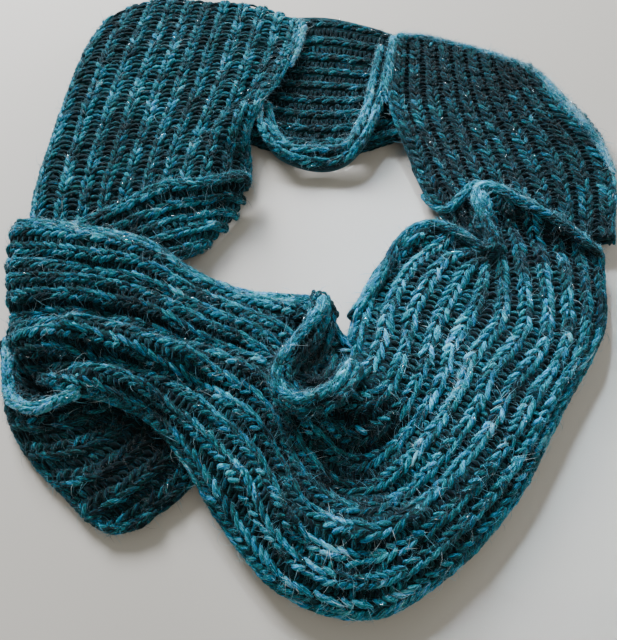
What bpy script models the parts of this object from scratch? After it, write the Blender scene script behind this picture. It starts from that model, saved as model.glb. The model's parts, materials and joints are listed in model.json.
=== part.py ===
"""Infinity scarf, laid out on a flat surface.

A hand-knitted scarf: one bulky ribbed band about 240 mm wide, its two ends grafted into a
loop, dropped on a surface and spread round an open middle.  Each stretch of the band that
shows is its own cloth wall with raised ribs.  The layers folded away beneath share rounded
solids whose edges are layered.

Lengths in the tables are millimetres.  +X is right, +Y is away, +Z is up, and Z = 0 is the
surface.  The origin is put under the middle of the finished scarf at the end.
"""
import math
from collections import namedtuple

import bmesh
import bpy
from mathutils import Vector
from mathutils.bvhtree import BVHTree

MM = 0.001
WALL = 5.0           # plain thickness of the cloth between its ribs
RIB_RISE = 3.5       # how far a rib stands out of that wall
RIB_SHOULDER = 0.28  # where a rib's shoulder lies, as a share of the rib's width
RIB_POINTS = 3       # outer points for each rib: its foot and two shoulders
REST = 0.5           # room left where one layer lies across another's ribs
REACH = 6.0          # how far round a point the layers above or below it are felt for
AROUND = ((0, 0), (REACH, 0), (-REACH, 0), (0, REACH), (0, -REACH))
SPREAD = 0.9         # how much of a lift the cloth next to it shares
UP = Vector((0, 0, 1))
SKY = 200.0          # height above every layer, where a line down starts
CELLAR = -1.0        # height below every layer, where a line up starts
NUDGE = 0.004        # step along or across a stretch when its slope is measured
SHARP = math.radians(50)

# ------------------------------------------------------------------ tables

# One visible stretch of the band.
#   ribs      how many ribs run along it
#   steps     cross rows between two sections of its table
#   rolled    edges that turn down: "start", "end", "first", "last"
#   turn      width of a turned-down first or last edge, in ribs
#   under     names of the stretches that it lies on
#   sections  rows along the ribs; each row goes across them, from the first edge to the last,
#             as guide points (x, y, height of the cloth between its ribs)
#   folds     soft ridges and troughs: (x0, y0, x1, y1, half width, height)
Stretch = namedtuple("Stretch", "name ribs steps rolled turn under sections folds")

BACK_BRIDGE = Stretch(
    name="back_bridge", ribs=9, steps=2, rolled=("last",), turn=0.8, under=(),
    sections=(
        # near edge     quarter         middle          three quarters   far edge
        ((-90, 212, 12), (-95, 258, 12), (-95, 305, 12), (-95, 350, 12), (-95, 394, 9)),
        ((-50, 198, 13), (-50, 242, 13), (-52, 288, 13), (-52, 335, 13), (-54, 392, 9)),
        ((-15, 189, 13), (-15, 232, 13), (-15, 280, 13), (-15, 328, 13), (-15, 390, 9)),
        ((22, 187, 13), (23, 230, 13), (23, 277, 13), (24, 326, 13), (25, 390, 9)),
        ((55, 194, 13), (56, 233, 13), (58, 274, 13), (59, 320, 13), (62, 378, 9)),
        ((86, 203, 13), (88, 236, 13), (90, 274, 13), (92, 313, 13), (96, 362, 9)),
        ((118, 210, 12), (121, 240, 12), (124, 268, 12), (127, 296, 12), (130, 322, 9)),
    ),
    folds=(),
)

BRIDGE_RIM = Stretch(
    name="bridge_rim", ribs=2, steps=2, rolled=("first",), turn=0.8, under=("back_bridge",),
    sections=(
        # outer edge     crest           inner edge
        ((-56, 240, 11), (-47, 243, 18), (-40, 246, 16)),
        ((-53, 207, 8), (-44, 211, 17), (-36, 216, 16)),
        ((-33, 178, 5), (-27, 183, 18), (-20, 188, 13)),
        ((2, 167, 4), (3, 177, 17), (4, 187, 13)),
        ((36, 169, 5), (35, 178, 18), (34, 187, 14)),
        ((60, 190, 10), (52, 194, 24), (44, 199, 21)),
        ((74, 226, 16), (66, 229, 27), (57, 232, 22)),
        ((84, 272, 20), (76, 274, 28), (67, 276, 22)),
        ((92, 322, 21), (86, 324, 28), (78, 326, 22)),
    ),
    folds=(),
)

LEFT_PANEL = Stretch(
    name="left_panel", ribs=11, steps=3, rolled=("start", "first"), turn=0.9,
    under=("back_bridge", "bridge_rim"),
    sections=(
        # left edge        rib 2             rib 4             rib 7             rib 9            right edge
        ((-232, 376, 4), (-184, 404, 4), (-138, 403, 4), (-93, 396, 6), (-46, 385, 16), (-2, 366, 20)),
        ((-242, 352, 4), (-185, 388, 26), (-138, 388, 27), (-94, 381, 27), (-48, 370, 27), (-8, 352, 24)),
        ((-251, 314, 4), (-198, 315, 28), (-149, 320, 29), (-103, 321, 29), (-55, 321, 29), (-12, 324, 24)),
        ((-259, 248, 4), (-208, 241, 28), (-162, 246, 29), (-113, 253, 30), (-68, 254, 33), (-31, 266, 24)),
        ((-264, 184, 4), (-214, 176, 28), (-170, 180, 29), (-128, 185, 30), (-87, 190, 34), (-60, 212, 12)),
        ((-267, 134, 4), (-218, 126, 28), (-176, 128, 29), (-134, 132, 30), (-95, 140, 31), (-57, 168, 8)),
        ((-266, 86, 4), (-219, 82, 22), (-177, 92, 22), (-137, 110, 22), (-96, 122, 20), (-59, 144, 7)),
    ),
    folds=((-150, 360, -165, 150, 22, -2.5), (-205, 340, -215, 160, 20, 2.0)),
)

LEFT_UNDER_FOLD = Stretch(
    name="left_under_fold", ribs=5, steps=2, rolled=("end",), turn=1.0, under=("left_panel",),
    sections=(
        # selvedge         rib 1             rib 3             low edge
        ((-222, 82, 30), (-203, 62, 27), (-184, 42, 25), (-166, 22, 20)),
        ((-176, 103, 34), (-167, 82, 31), (-156, 62, 28), (-146, 42, 22)),
        ((-136, 125, 34), (-130, 102, 30), (-124, 79, 26), (-118, 52, 18)),
        ((-94, 130, 31), (-92, 112, 27), (-95, 90, 23), (-105, 62, 16)),
        ((-57, 148, 8), (-66, 122, 6), (-80, 98, 5), (-104, 70, 5)),
    ),
    folds=((-140, 92, -85, 100, 8, -3.0),),
)

RIGHT_LOWER_LAYER = Stretch(
    name="right_lower_layer", ribs=3, steps=2, rolled=("last",), turn=0.8, under=(),
    sections=(
        # hidden edge     middle          outer edge
        ((220, 292, 10), (238, 290, 12), (254, 280, 4)),
        ((238, 258, 12), (260, 257, 12), (284, 252, 4)),
        ((254, 212, 12), (279, 213, 13), (304, 212, 4)),
        ((258, 165, 12), (282, 168, 13), (305, 172, 4)),
        ((255, 118, 12), (278, 122, 13), (300, 128, 4)),
        ((248, 74, 10), (270, 74, 12), (291, 78, 4)),
    ),
    folds=(),
)

RIGHT_PANEL = Stretch(
    name="right_panel", ribs=10, steps=3, rolled=("start", "first"), turn=0.9,
    under=("back_bridge", "bridge_rim", "right_lower_layer"),
    sections=(
        # left edge       rib 2            rib 5            rib 7            right edge
        ((94, 342, 20), (134, 338, 6), (174, 326, 4), (213, 315, 5), (243, 297, 16)),
        ((93, 328, 22), (132, 325, 26), (170, 313, 26), (207, 301, 26), (245, 278, 24)),
        ((82, 242, 19), (130, 237, 28), (173, 235, 28), (217, 235, 28), (268, 232, 22)),
        ((98, 188, 5), (139, 180, 28), (184, 179, 28), (235, 181, 28), (298, 190, 19)),
        ((115, 134, 5), (151, 127, 28), (194, 126, 28), (243, 127, 28), (299, 134, 19)),
        ((138, 92, 6), (166, 74, 16), (204, 68, 20), (242, 68, 20), (284, 76, 16)),
    ),
    folds=((180, 300, 190, 140, 20, -2.0),),
)

LEFT_LOBE = Stretch(
    name="left_lobe", ribs=7, steps=3, rolled=("end",), turn=1.0, under=(),
    sections=(
        # hollow           turned band       rib 3             rib 4             rib 6             right edge
        ((-206, -44, 12), (-184, -62, 17), (-146, -68, 16), (-117, -84, 15), (-93, -102, 13), (-73, -124, 8)),
        ((-220, -66, 12), (-200, -88, 20), (-162, -98, 18), (-133, -113, 17), (-109, -130, 15), (-88, -148, 8)),
        ((-240, -66, 10), (-226, -92, 26), (-200, -118, 22), (-165, -142, 20), (-136, -158, 18), (-112, -172, 6)),
        ((-262, -46, 8), (-256, -82, 6), (-242, -115, 4), (-207, -148, 4), (-172, -182, 4), (-151, -190, 4)),
    ),
    folds=(),
)

FRONT_SWEEP = Stretch(
    name="front_sweep", ribs=11, steps=3, rolled=("start", "last", "end"), turn=2.2,
    under=("left_panel", "left_under_fold", "left_lobe", "right_panel", "right_lower_layer"),
    sections=(
        # inner edge      rib 2             rib 4             rib 7             rib 9             outer edge
        ((-283, 84, 22), (-286, 50, 8), (-278, 12, 6), (-268, -26, 6), (-248, -50, 14), (-226, -70, 20)),
        ((-268, 82, 36), (-271, 44, 36), (-262, 8, 34), (-250, -26, 34), (-232, -52, 34), (-212, -76, 30)),
        ((-235, 77, 40), (-234, 42, 38), (-230, 10, 34), (-219, -21, 36), (-205, -52, 41), (-195, -84, 30)),
        ((-188, 67, 42), (-186, 35, 40), (-183, 8, 34), (-175, -27, 40), (-166, -60, 43), (-160, -92, 28)),
        ((-141, 54, 40), (-138, 22, 40), (-134, -7, 36), (-127, -44, 41), (-126, -76, 36), (-125, -109, 28)),
        ((-104, 28, 34), (-89, -6, 38), (-81, -37, 38), (-79, -68, 37), (-82, -107, 37), (-94, -143, 14)),
        ((-51, 8, 30), (-40, -29, 38), (-34, -62, 38), (-36, -98, 36), (-45, -142, 38), (-69, -182, 6)),
        ((8, 2, 30), (-1, -62, 35), (2, -112, 28), (-1, -158, 28), (-8, -200, 35), (-20, -233, 5)),
        ((25, -20, 24), (32, -86, 38), (38, -136, 19), (44, -180, 33), (46, -216, 34), (46, -250, 5)),
        ((34, -30, 20), (57, -80, 39), (76, -116, 26), (88, -154, 32), (100, -187, 34), (114, -217, 6)),
        ((36, -14, 20), (74, -48, 36), (105, -77, 36), (129, -107, 41), (150, -138, 34), (168, -167, 8)),
        ((42, 5, 20), (82, -16, 34), (119, -41, 34), (150, -69, 40), (182, -95, 34), (208, -105, 9)),
        ((58, 36, 22), (98, 20, 34), (144, -1, 32), (185, -24, 34), (222, -36, 32), (256, -20, 10)),
        # below the ruffle
        ((72, 52, 28), (104, 50, 34), (130, 40, 37), (152, 32, 34), (172, 52, 33), (196, 58, 32),
         (224, 48, 33), (246, 34, 32), (268, 22, 16)),
        # crest of the ruffled fold
        ((84, 60, 36), (110, 70, 42), (128, 66, 42), (144, 54, 40), (157, 43, 37), (169, 53, 40),
         (166, 76, 43), (162, 95, 45), (165, 107, 47), (180, 105, 47), (196, 96, 46), (217, 87, 44),
         (232, 74, 42), (246, 62, 38), (260, 54, 33), (272, 44, 24)),
        # its underside, where it turns under
        ((86, 66, 24), (109, 77, 32), (129, 74, 32), (147, 61, 30), (158, 50, 27), (161, 58, 30),
         (156, 78, 33), (153, 98, 35), (161, 116, 37), (181, 114, 37), (198, 104, 36), (219, 96, 34),
         (236, 82, 32), (251, 69, 28), (267, 60, 24), (280, 50, 15)),
    ),
    folds=(
        (-255, -24, -200, -12, 9, 4.0), (-200, -12, -60, -46, 10, 4.5),   # the two lit creases
        (-225, -66, -150, -64, 9, 4.0), (-245, 22, -150, 2, 16, -3.0),
        (10, -46, 12, -60, 27, -16.0),                                     # dent below the pocket
        (-60, -115, 20, -178, 10, 2.5), (60, -178, 185, -90, 12, 3.0),
        (190, 80, 240, 48, 12, -5.0), (95, 50, 122, 52, 9, -3.0),
    ),
)

POCKET = Stretch(
    name="pocket", ribs=4, steps=2, rolled=("start",), turn=1.0, under=("front_sweep",),
    sections=(
        # outer foot      crest            inner slope      bottom
        ((4, 6, 38), (13, 2, 44), (19, -4, 36), (23, -12, 26)),
        ((-3, -28, 42), (5, -32, 49), (13, -32, 39), (20, -30, 27)),
        ((-14, -44, 44), (-6, -49, 51), (5, -48, 39), (16, -43, 27)),
        ((-26, -56, 44), (-17, -61, 51), (-5, -60, 39), (10, -54, 27)),
        ((-32, -74, 43), (-23, -77, 50), (-10, -73, 39), (6, -62, 27)),
        ((-27, -95, 44), (-18, -93, 51), (-7, -83, 39), (7, -68, 27)),
        ((-8, -108, 43), (-5, -99, 51), (1, -87, 39), (9, -70, 27)),
        ((13, -106, 42), (10, -97, 50), (11, -84, 39), (13, -69, 27)),
        ((34, -92, 40), (27, -84, 48), (20, -74, 38), (17, -62, 27)),
        ((45, -67, 38), (37, -61, 45), (28, -55, 36), (21, -49, 26)),
        ((44, -42, 34), (36, -39, 40), (30, -37, 33), (24, -34, 25)),
    ),
    folds=(),
)

STRETCHES = (BACK_BRIDGE, BRIDGE_RIM, RIGHT_LOWER_LAYER, LEFT_LOBE, LEFT_PANEL, RIGHT_PANEL,
             LEFT_UNDER_FOLD, FRONT_SWEEP, POCKET)

# The folded-away layers, as lines across the ring: inner point, outer point.
HIDDEN_LINES = {
    "hidden_layers_left": (
        ((-108, 386), (-205, 378)), ((-104, 345), (-232, 345)), ((-104, 285), (-242, 285)),
        ((-104, 228), (-248, 225)), ((-82, 186), (-252, 178)), ((-76, 150), (-254, 132)),
        ((-94, 112), (-254, 86)), ((-122, 72), (-262, 42)), ((-128, 36), (-260, 0)),
        ((-104, 12), (-250, -44)),
    ),
    "hidden_layers_front": (
        ((-88, 8), (-204, -38)), ((-64, -2), (-166, -56)), ((-46, -6), (-130, -72)),
        ((-32, -10), (-84, -104)), ((-14, -14), (-62, -160)), ((4, -30), (-16, -216)),
        ((26, -44), (46, -234)), ((44, -44), (108, -204)), ((46, -22), (158, -158)),
        ((50, 2), (196, -96)), ((68, 30), (240, -22)), ((98, 52), (262, 30)),
    ),
    "hidden_layers_right": (
        ((140, 66), (246, 66)), ((138, 104), (251, 100)), ((120, 140), (254, 140)),
        ((106, 180), (254, 180)), ((124, 212), (251, 212)), ((138, 250), (236, 250)),
        ((138, 286), (220, 282)), ((140, 312), (212, 298)),
    ),
    "hidden_layers_back": (
        ((-94, 216), (-96, 398)), ((-60, 206), (-60, 400)), ((-20, 192), (-20, 399)),
        ((20, 188), (20, 399)), ((55, 196), (58, 388)), ((90, 210), (97, 369)),
        ((116, 216), (124, 326)),
    ),
}
HIDDEN_ACROSS = 9        # strips across a hidden solid
HIDDEN_STEPS = 3         # strips between two of its lines
HIDDEN_REST = 0.8        # room left under the cloth that covers them
HIDDEN_LIP = 5.5         # height of the lowest layer's edge, where nothing lies over it
HIDDEN_LEAST = 1.0       # thinnest that a hidden solid gets

TEAL = (0.035, 0.150, 0.160, 1.0)     # the cloth that shows
SHADE = (0.012, 0.040, 0.052, 1.0)    # the layers folded away


# ------------------------------------------------------------------ curves

def spline(points, t):
    """A point on the smooth curve through points, at t from 0 to 1."""
    last = len(points) - 1
    i = min(int(t * last), last - 1)
    f = t * last - i
    b, c = points[i], points[i + 1]
    a = points[i - 1] if i else 2 * b - c
    d = points[i + 2] if i + 2 <= last else 2 * c - b
    return 0.5 * (2 * b + (c - a) * f + (2 * a - 5 * b + 4 * c - d) * f * f + (3 * b - a - 3 * c + d) * f ** 3)


def quarter_round(t):
    """Height of a rolled edge, 0 at the edge and 1 once it is level."""
    t = min(max(t, 0.0), 1.0)
    return math.sqrt(1.0 - (1.0 - t) ** 2)


def crease(x, y, fold):
    """How far one soft ridge or trough moves the cloth at x, y."""
    x0, y0, x1, y1, half_width, height = fold
    along = Vector((x1 - x0, y1 - y0))
    reach = Vector((x - x0, y - y0))
    t = min(max(reach.dot(along) / along.length_squared, 0.0), 1.0)
    away = (reach - along * t).length / half_width
    return height * math.exp(-away * away)


class Cloth:
    """The plain outer surface of a stretch, as a function of u along and v across its ribs."""

    def __init__(self, stretch):
        self.stretch = stretch
        self.rows = [[Vector(p) for p in row] for row in stretch.sections]
        self.level_rows = [self.levelled(i) for i in range(len(self.rows))]

    def levelled(self, i):
        """A section with its rolled edges raised to the height next to them."""
        rolled, rows = self.stretch.rolled, self.rows
        source = i
        if i == 0 and "start" in rolled:
            source = 1
        if i == len(rows) - 1 and "end" in rolled:
            source = i - 1
        row = [p.copy() for p in rows[i]]
        count, other = len(row) - 1, rows[source]
        for j, p in enumerate(row):
            p.z = spline(other, j / count).z
        if "first" in rolled:
            row[0].z = row[1].z
        if "last" in rolled:
            row[-1].z = row[-2].z
        return row

    def edge_drop(self, u, v, level):
        """How far the rolled edges bring the cloth down at u, v."""
        rolled, last = self.stretch.rolled, len(self.rows) - 1
        drop = 0.0
        if "first" in rolled:
            edge = spline([row[0] for row in self.rows], u).z
            drop += max(level - edge, 0.0) * (1 - quarter_round(v * self.stretch.ribs / self.stretch.turn))
        if "last" in rolled:
            edge = spline([row[-1] for row in self.rows], u).z
            drop += max(level - edge, 0.0) * (1 - quarter_round((1 - v) * self.stretch.ribs / self.stretch.turn))
        if "start" in rolled:
            edge = spline(self.rows[0], v).z
            drop += max(level - edge, 0.0) * (1 - quarter_round(u * last))
        if "end" in rolled:
            edge = spline(self.rows[-1], v).z
            drop += max(level - edge, 0.0) * (1 - quarter_round((1 - u) * last))
        return drop

    def point(self, u, v):
        p = spline([spline(row, v) for row in self.level_rows], u)
        level = p.z + sum(crease(p.x, p.y, fold) for fold in self.stretch.folds)
        lowest = min(row[j].z for row in self.rows for j in (0, -1))
        p.z = max(level - self.edge_drop(u, v, level), min(lowest, level))
        return p

    def normal(self, u, v):
        """The unit normal on the upper side."""
        along = self.point(min(u + NUDGE, 1), v) - self.point(max(u - NUDGE, 0), v)
        across = self.point(u, min(v + NUDGE, 1)) - self.point(u, max(v - NUDGE, 0))
        n = along.cross(across).normalized()
        return n if self.upward > 0 else -n

    @property
    def upward(self):
        """1 where along x across points up at the middle, else -1."""
        along = self.point(0.5 + NUDGE, 0.5) - self.point(0.5 - NUDGE, 0.5)
        across = self.point(0.5, 0.5 + NUDGE) - self.point(0.5, 0.5 - NUDGE)
        return 1 if along.cross(across).z > 0 else -1


# ------------------------------------------------------------------ solids

def material(name, colour):
    """A matt wool finish."""
    found = bpy.data.materials.get(name) or bpy.data.materials.new(name)
    found.use_nodes = True
    shader = found.node_tree.nodes["Principled BSDF"]
    shader.inputs["Base Color"].default_value = colour
    shader.inputs["Roughness"].default_value = 0.95
    shader.inputs["Metallic"].default_value = 0.0
    return found


def add_object(name, bm, colour):
    """Close a bmesh off as a named, smooth-shaded object in metres."""
    bmesh.ops.recalc_face_normals(bm, faces=bm.faces)
    if bm.calc_volume(signed=True) < 0:
        bmesh.ops.reverse_faces(bm, faces=bm.faces)
    bmesh.ops.scale(bm, vec=(MM, MM, MM), verts=bm.verts)
    mesh = bpy.data.meshes.new(name)
    bm.to_mesh(mesh)
    bm.free()
    mesh.shade_smooth()
    mesh.set_sharp_from_angle(angle=SHARP)
    mesh.materials.append(material(name + "_wool", colour))
    thing = bpy.data.objects.new(name, mesh)
    bpy.context.collection.objects.link(thing)
    return thing


def grid_of(bm, columns, rows):
    """A flat grid's vertices, sorted into rows."""
    made = bmesh.ops.create_grid(bm, x_segments=columns - 1, y_segments=rows - 1, size=1.0)
    verts = sorted(made["verts"], key=lambda vert: (round(vert.co.y, 5), round(vert.co.x, 5)))
    return [verts[i * columns:(i + 1) * columns] for i in range(rows)]


def sew_border(bm, outer, inner):
    """Close the wall between two grids; the outer one has RIB_POINTS columns to the inner's one."""
    for top, under in ((outer[0], inner[0]), (outer[-1], inner[-1])):
        for j in range(len(under) - 1):
            foot = j * RIB_POINTS
            bm.faces.new(top[foot:foot + RIB_POINTS + 1] + [under[j + 1], under[j]])
    for side in (0, -1):
        for i in range(len(outer) - 1):
            bm.faces.new((outer[i][side], outer[i + 1][side], inner[i + 1][side], inner[i][side]))


def near(field, i, j):
    """The values of a grid at i, j and all round it."""
    return [field[a][b] for a in (i - 1, i, i + 1) for b in (j - 1, j, j + 1)
            if 0 <= a < len(field) and 0 <= b < len(field[0])]


def lift_over(points, trees):
    """How far each point of a grid is raised to clear the solids that it lies on."""
    needed = []
    for row in points:
        line = []
        for p in row:
            tops = [tree.ray_cast(Vector((p.x + dx, p.y + dy, SKY)), -UP)[0]
                    for tree in trees for dx, dy in AROUND]
            line.append(max([top.z + REST - p.z for top in tops if top] + [0.0]))
        needed.append(line)
    rows, columns = len(needed), len(needed[0])
    spread = [[max(near(needed, i, j)) for j in range(columns)] for i in range(rows)]
    return [[max(needed[i][j], SPREAD * sum(near(spread, i, j)) / len(near(spread, i, j)))
             for j in range(columns)] for i in range(rows)]


def stretch_solid(stretch, trees, colour):
    """A cloth wall: ribs on its outer side, plain on its inner side."""
    cloth = Cloth(stretch)
    across = [(k + share) / stretch.ribs for k in range(stretch.ribs)
              for share in (0.0, RIB_SHOULDER, 1 - RIB_SHOULDER)] + [1.0]
    rise = [0.0, RIB_RISE, RIB_RISE] * stretch.ribs + [0.0]
    rows = stretch.steps * (len(stretch.sections) - 1) + 1
    along = [i / (rows - 1) for i in range(rows)]
    face = [[cloth.point(u, v) for v in across] for u in along]
    normals = [[cloth.normal(u, v) for v in across] for u in along]
    back = [[p - n * WALL for p, n in zip(*pair)] for pair in zip(face, normals)]
    lift = lift_over(back, [trees[name] for name in stretch.under])

    bm = bmesh.new()
    outer = grid_of(bm, len(across), rows)
    inner = grid_of(bm, stretch.ribs + 1, rows)
    for i in range(rows):
        for j, vert in enumerate(outer[i]):
            vert.co = face[i][j] + normals[i][j] * rise[j] + UP * lift[i][j]
            vert.co.z = max(vert.co.z, 0.0)
        for k, vert in enumerate(inner[i]):
            j = k * RIB_POINTS
            vert.co = back[i][j] + UP * max(lift[i][max(j - 1, 0):j + 2])
            vert.co.z = max(vert.co.z, 0.0)
    sew_border(bm, outer, inner)
    tree = BVHTree.FromBMesh(bm)
    return add_object(stretch.name, bm, colour), tree


def ceiling(x, y, trees):
    """The lowest underside of the cloth near x, y, or None where nothing lies over it."""
    hits = [tree.ray_cast(Vector((x + dx, y + dy, CELLAR)), UP)[0]
            for tree in trees for dx, dy in AROUND]
    return min([hit.z for hit in hits if hit], default=None)


def hidden_solid(name, lines, trees, colour):
    """The folded-away layers: flat below, and rounded up to the cloth that covers them."""
    inner = [Vector((*a, 0)) for a, b in lines]
    outer = [Vector((*b, 0)) for a, b in lines]
    rows = HIDDEN_STEPS * (len(lines) - 1) + 1
    points = [[spline(inner, i / (rows - 1)).lerp(spline(outer, i / (rows - 1)), j / HIDDEN_ACROSS)
               for j in range(HIDDEN_ACROSS + 1)] for i in range(rows)]
    over = [[ceiling(p.x, p.y, trees) for p in row] for row in points]
    bm = bmesh.new()
    for i, row in enumerate(grid_of(bm, HIDDEN_ACROSS + 1, rows)):
        for j, vert in enumerate(row):
            covers = [height for height in near(over, i, j) if height is not None]
            height = min(covers) - HIDDEN_REST if covers else HIDDEN_LIP
            if over[i][j] is None:
                height = min(height, HIDDEN_LIP)
            vert.co = points[i][j] + UP * max(height, HIDDEN_LEAST)
    bottom = bmesh.ops.extrude_face_region(bm, geom=list(bm.faces))["geom"]
    for vert in (part for part in bottom if isinstance(part, bmesh.types.BMVert)):
        vert.co.z = 0.0
    bmesh.ops.dissolve_limit(bm, angle_limit=math.radians(1), verts=[v for v in bm.verts if v.co.z == 0.0],
                             edges=[e for e in bm.edges if all(v.co.z == 0.0 for v in e.verts)])
    return add_object(name, bm, colour)


def centre_under(things):
    """Move the finished scarf so that the origin is under its middle."""
    corners = [vert.co for thing in things for vert in thing.data.vertices]
    shift = Vector((-(min(c.x for c in corners) + max(c.x for c in corners)) / 2,
                    -(min(c.y for c in corners) + max(c.y for c in corners)) / 2,
                    -min(c.z for c in corners)))
    for thing in things:
        for vert in thing.data.vertices:
            vert.co += shift
    print("origin moved by", [round(value / MM, 2) for value in shift])


def main():
    for thing in list(bpy.data.objects):
        bpy.data.objects.remove(thing, do_unlink=True)
    trees, things = {}, []
    for stretch in STRETCHES:
        thing, trees[stretch.name] = stretch_solid(stretch, trees, TEAL)
        things.append(thing)
    for name, lines in HIDDEN_LINES.items():
        things.append(hidden_solid(name, lines, list(trees.values()), SHADE))
    centre_under(things)
    for thing in things:
        thing.data.calc_loop_triangles()
        print(thing.name, len(thing.data.loop_triangles), "triangles")
    print("all", sum(len(thing.data.loop_triangles) for thing in things))


main()
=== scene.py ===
# %% [markdown]
# # An infinity scarf in bulky rib knit
#
# The real scarf is one broad ribbed band, knitted in thick brushed wool and mohair, with its two
# ends joined into a loop.  It was dropped on a level surface and lies in a ring, folded over on
# itself.  A cloth simulation would lose the ribs, so each stretch that shows is built as its own
# sheet from a short table of guide points, and real stitches are laid on it one by one.

# %% Load the model that the looks are fitted to
import json
import math
from collections import namedtuple

import bmesh
import bpy
import numpy as np
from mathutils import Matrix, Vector, noise
from mathutils.bvhtree import BVHTree

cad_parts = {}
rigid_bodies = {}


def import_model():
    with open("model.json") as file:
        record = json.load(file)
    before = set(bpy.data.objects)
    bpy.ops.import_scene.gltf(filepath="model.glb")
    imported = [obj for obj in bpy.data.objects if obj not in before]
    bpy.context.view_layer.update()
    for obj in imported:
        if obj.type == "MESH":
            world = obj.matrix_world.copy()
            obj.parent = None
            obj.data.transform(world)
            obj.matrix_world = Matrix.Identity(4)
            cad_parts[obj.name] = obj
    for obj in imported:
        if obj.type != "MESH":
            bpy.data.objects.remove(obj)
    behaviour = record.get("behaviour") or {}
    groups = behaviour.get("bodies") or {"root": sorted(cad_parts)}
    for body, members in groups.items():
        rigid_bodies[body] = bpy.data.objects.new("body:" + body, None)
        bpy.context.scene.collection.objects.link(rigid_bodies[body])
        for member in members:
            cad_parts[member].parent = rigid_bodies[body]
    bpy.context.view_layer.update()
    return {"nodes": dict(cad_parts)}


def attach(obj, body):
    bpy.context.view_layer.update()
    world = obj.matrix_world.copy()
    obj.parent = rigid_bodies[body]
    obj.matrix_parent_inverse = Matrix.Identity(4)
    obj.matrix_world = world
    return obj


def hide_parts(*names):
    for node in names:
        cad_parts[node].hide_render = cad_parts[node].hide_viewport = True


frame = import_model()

print("nodes:", ", ".join(sorted(frame["nodes"])))

# %% [markdown]
# ## Camera, light and floor
#
# The scarf is seen from above and in front, as somebody standing at a table sees it.  Most light
# comes from a broad soft window beyond the scarf and to the left, so tops and far edges are
# bright and the sides towards us fall into shade.  A narrow pool of light falls on the right of
# the front, a faint second window lights the far right, and a weak warm fill opens the shade.

# %% Camera
MM = 0.001
CENTRE = np.array((-8.25, -79.69, 0.0))   # from the tables' origin to the model's, in mm
ELEVATION = math.radians(62.3)
DISTANCE = 618.8                          # mm from the lens to the tables' origin
SENSOR_HEIGHT, FOCAL_LENGTH = 36.0, 38.25  # mm

camera_data = bpy.data.cameras.new("camera")
camera_data.sensor_fit = "VERTICAL"
camera_data.sensor_height = SENSOR_HEIGHT
camera_data.lens = FOCAL_LENGTH
camera = bpy.data.objects.new("camera", camera_data)
bpy.context.collection.objects.link(camera)
bpy.context.scene.camera = camera
stand = np.array((0.0, -math.cos(ELEVATION), math.sin(ELEVATION))) * DISTANCE + CENTRE
camera.location = stand * MM
camera.rotation_euler = (math.pi / 2 - ELEVATION, 0.0, 0.0)
print("camera at", [round(x, 3) for x in camera.location])


# %% Colour and node helpers
def linear(code):
    """An sRGB hex colour as linear red, green, blue and alpha."""
    parts = [int(code[i:i + 2], 16) / 255 for i in (1, 3, 5)]
    return tuple(c / 12.92 if c <= 0.04045 else ((c + 0.055) / 1.055) ** 2.4 for c in parts) + (1.0,)


def add_node(tree, kind, inputs=None, **settings):
    """Add a node.  An input is given a value, or the output that feeds it."""
    node = tree.nodes.new(kind)
    for name, value in settings.items():
        setattr(node, name, value)
    for name, value in (inputs or {}).items():
        if isinstance(value, bpy.types.NodeSocket):
            tree.links.new(value, node.inputs[name])
        else:
            node.inputs[name].default_value = value
    return node


def new_material(name):
    """A material, its node tree and its shader."""
    made = bpy.data.materials.new(name)
    made.use_nodes = True
    return made, made.node_tree, made.node_tree.nodes["Principled BSDF"]


def set_values(node, values):
    """Set a node's inputs by name."""
    for name, value in values.items():
        node.inputs[name].default_value = value


def set_ramp(ramp, stops):
    """Give a colour ramp its stops, as positions and hex colours."""
    elements = ramp.color_ramp.elements
    while len(elements) < len(stops):
        elements.new(0.5)
    for element, (position, code) in zip(elements, stops):
        element.position = position
        element.color = linear(code)


# %% Light
SCARF_MIDDLE = (0.0, 0.0, 0.02)
FRONT_RIGHT = (0.14, -0.10, 0.02)


def area_light(name, place, size, power, code, target=SCARF_MIDDLE, spread=180):
    """A round lamp: its size in metres, its power in watts and its spread in degrees."""
    data = bpy.data.lights.new(name, "AREA")
    data.spread = math.radians(spread)
    data.shape, data.size, data.energy = "DISK", size, power
    data.color = linear(code)[:3]
    lamp = bpy.data.objects.new(name, data)
    lamp.location = place
    lamp.rotation_euler = (Vector(target) - Vector(place)).to_track_quat("-Z", "Y").to_euler()
    bpy.context.collection.objects.link(lamp)


area_light("window", (-0.75, 1.15, 0.95), 0.7, 52.0, "#f4f8ff")
area_light("window_pool", (-0.15, 0.9, 1.0), 0.2, 0.5, "#d8ecff", target=FRONT_RIGHT, spread=20)
area_light("far_window", (1.0, 0.9, 0.4), 0.5, 5.0, "#f6fbff")
area_light("room", (0.5, -0.9, 1.3), 1.4, 4.0, "#fff2e0")
world = bpy.data.worlds.new("studio")
bpy.context.scene.world = world
world.use_nodes = True
set_values(world.node_tree.nodes["Background"], {"Color": linear("#e2e4de"), "Strength": 0.32})
print("lights:", [lamp.name for lamp in bpy.data.lights])

# %% Floor
FLOOR_HALF = 3.0      # metres from its middle to its sides
bm = bmesh.new()
bmesh.ops.create_grid(bm, x_segments=1, y_segments=1, size=FLOOR_HALF)
floor_mesh = bpy.data.meshes.new("floor")
bm.to_mesh(floor_mesh)
bm.free()
floor = bpy.data.objects.new("floor", floor_mesh)
bpy.context.collection.objects.link(floor)
floor_paint, tree, shader = new_material("matt_pale_board")
set_values(shader, {"Base Color": linear("#d9d4cb"), "Roughness": 0.8})
floor_mesh.materials.append(floor_paint)
print("floor is", 2 * FLOOR_HALF, "m square")

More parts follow.
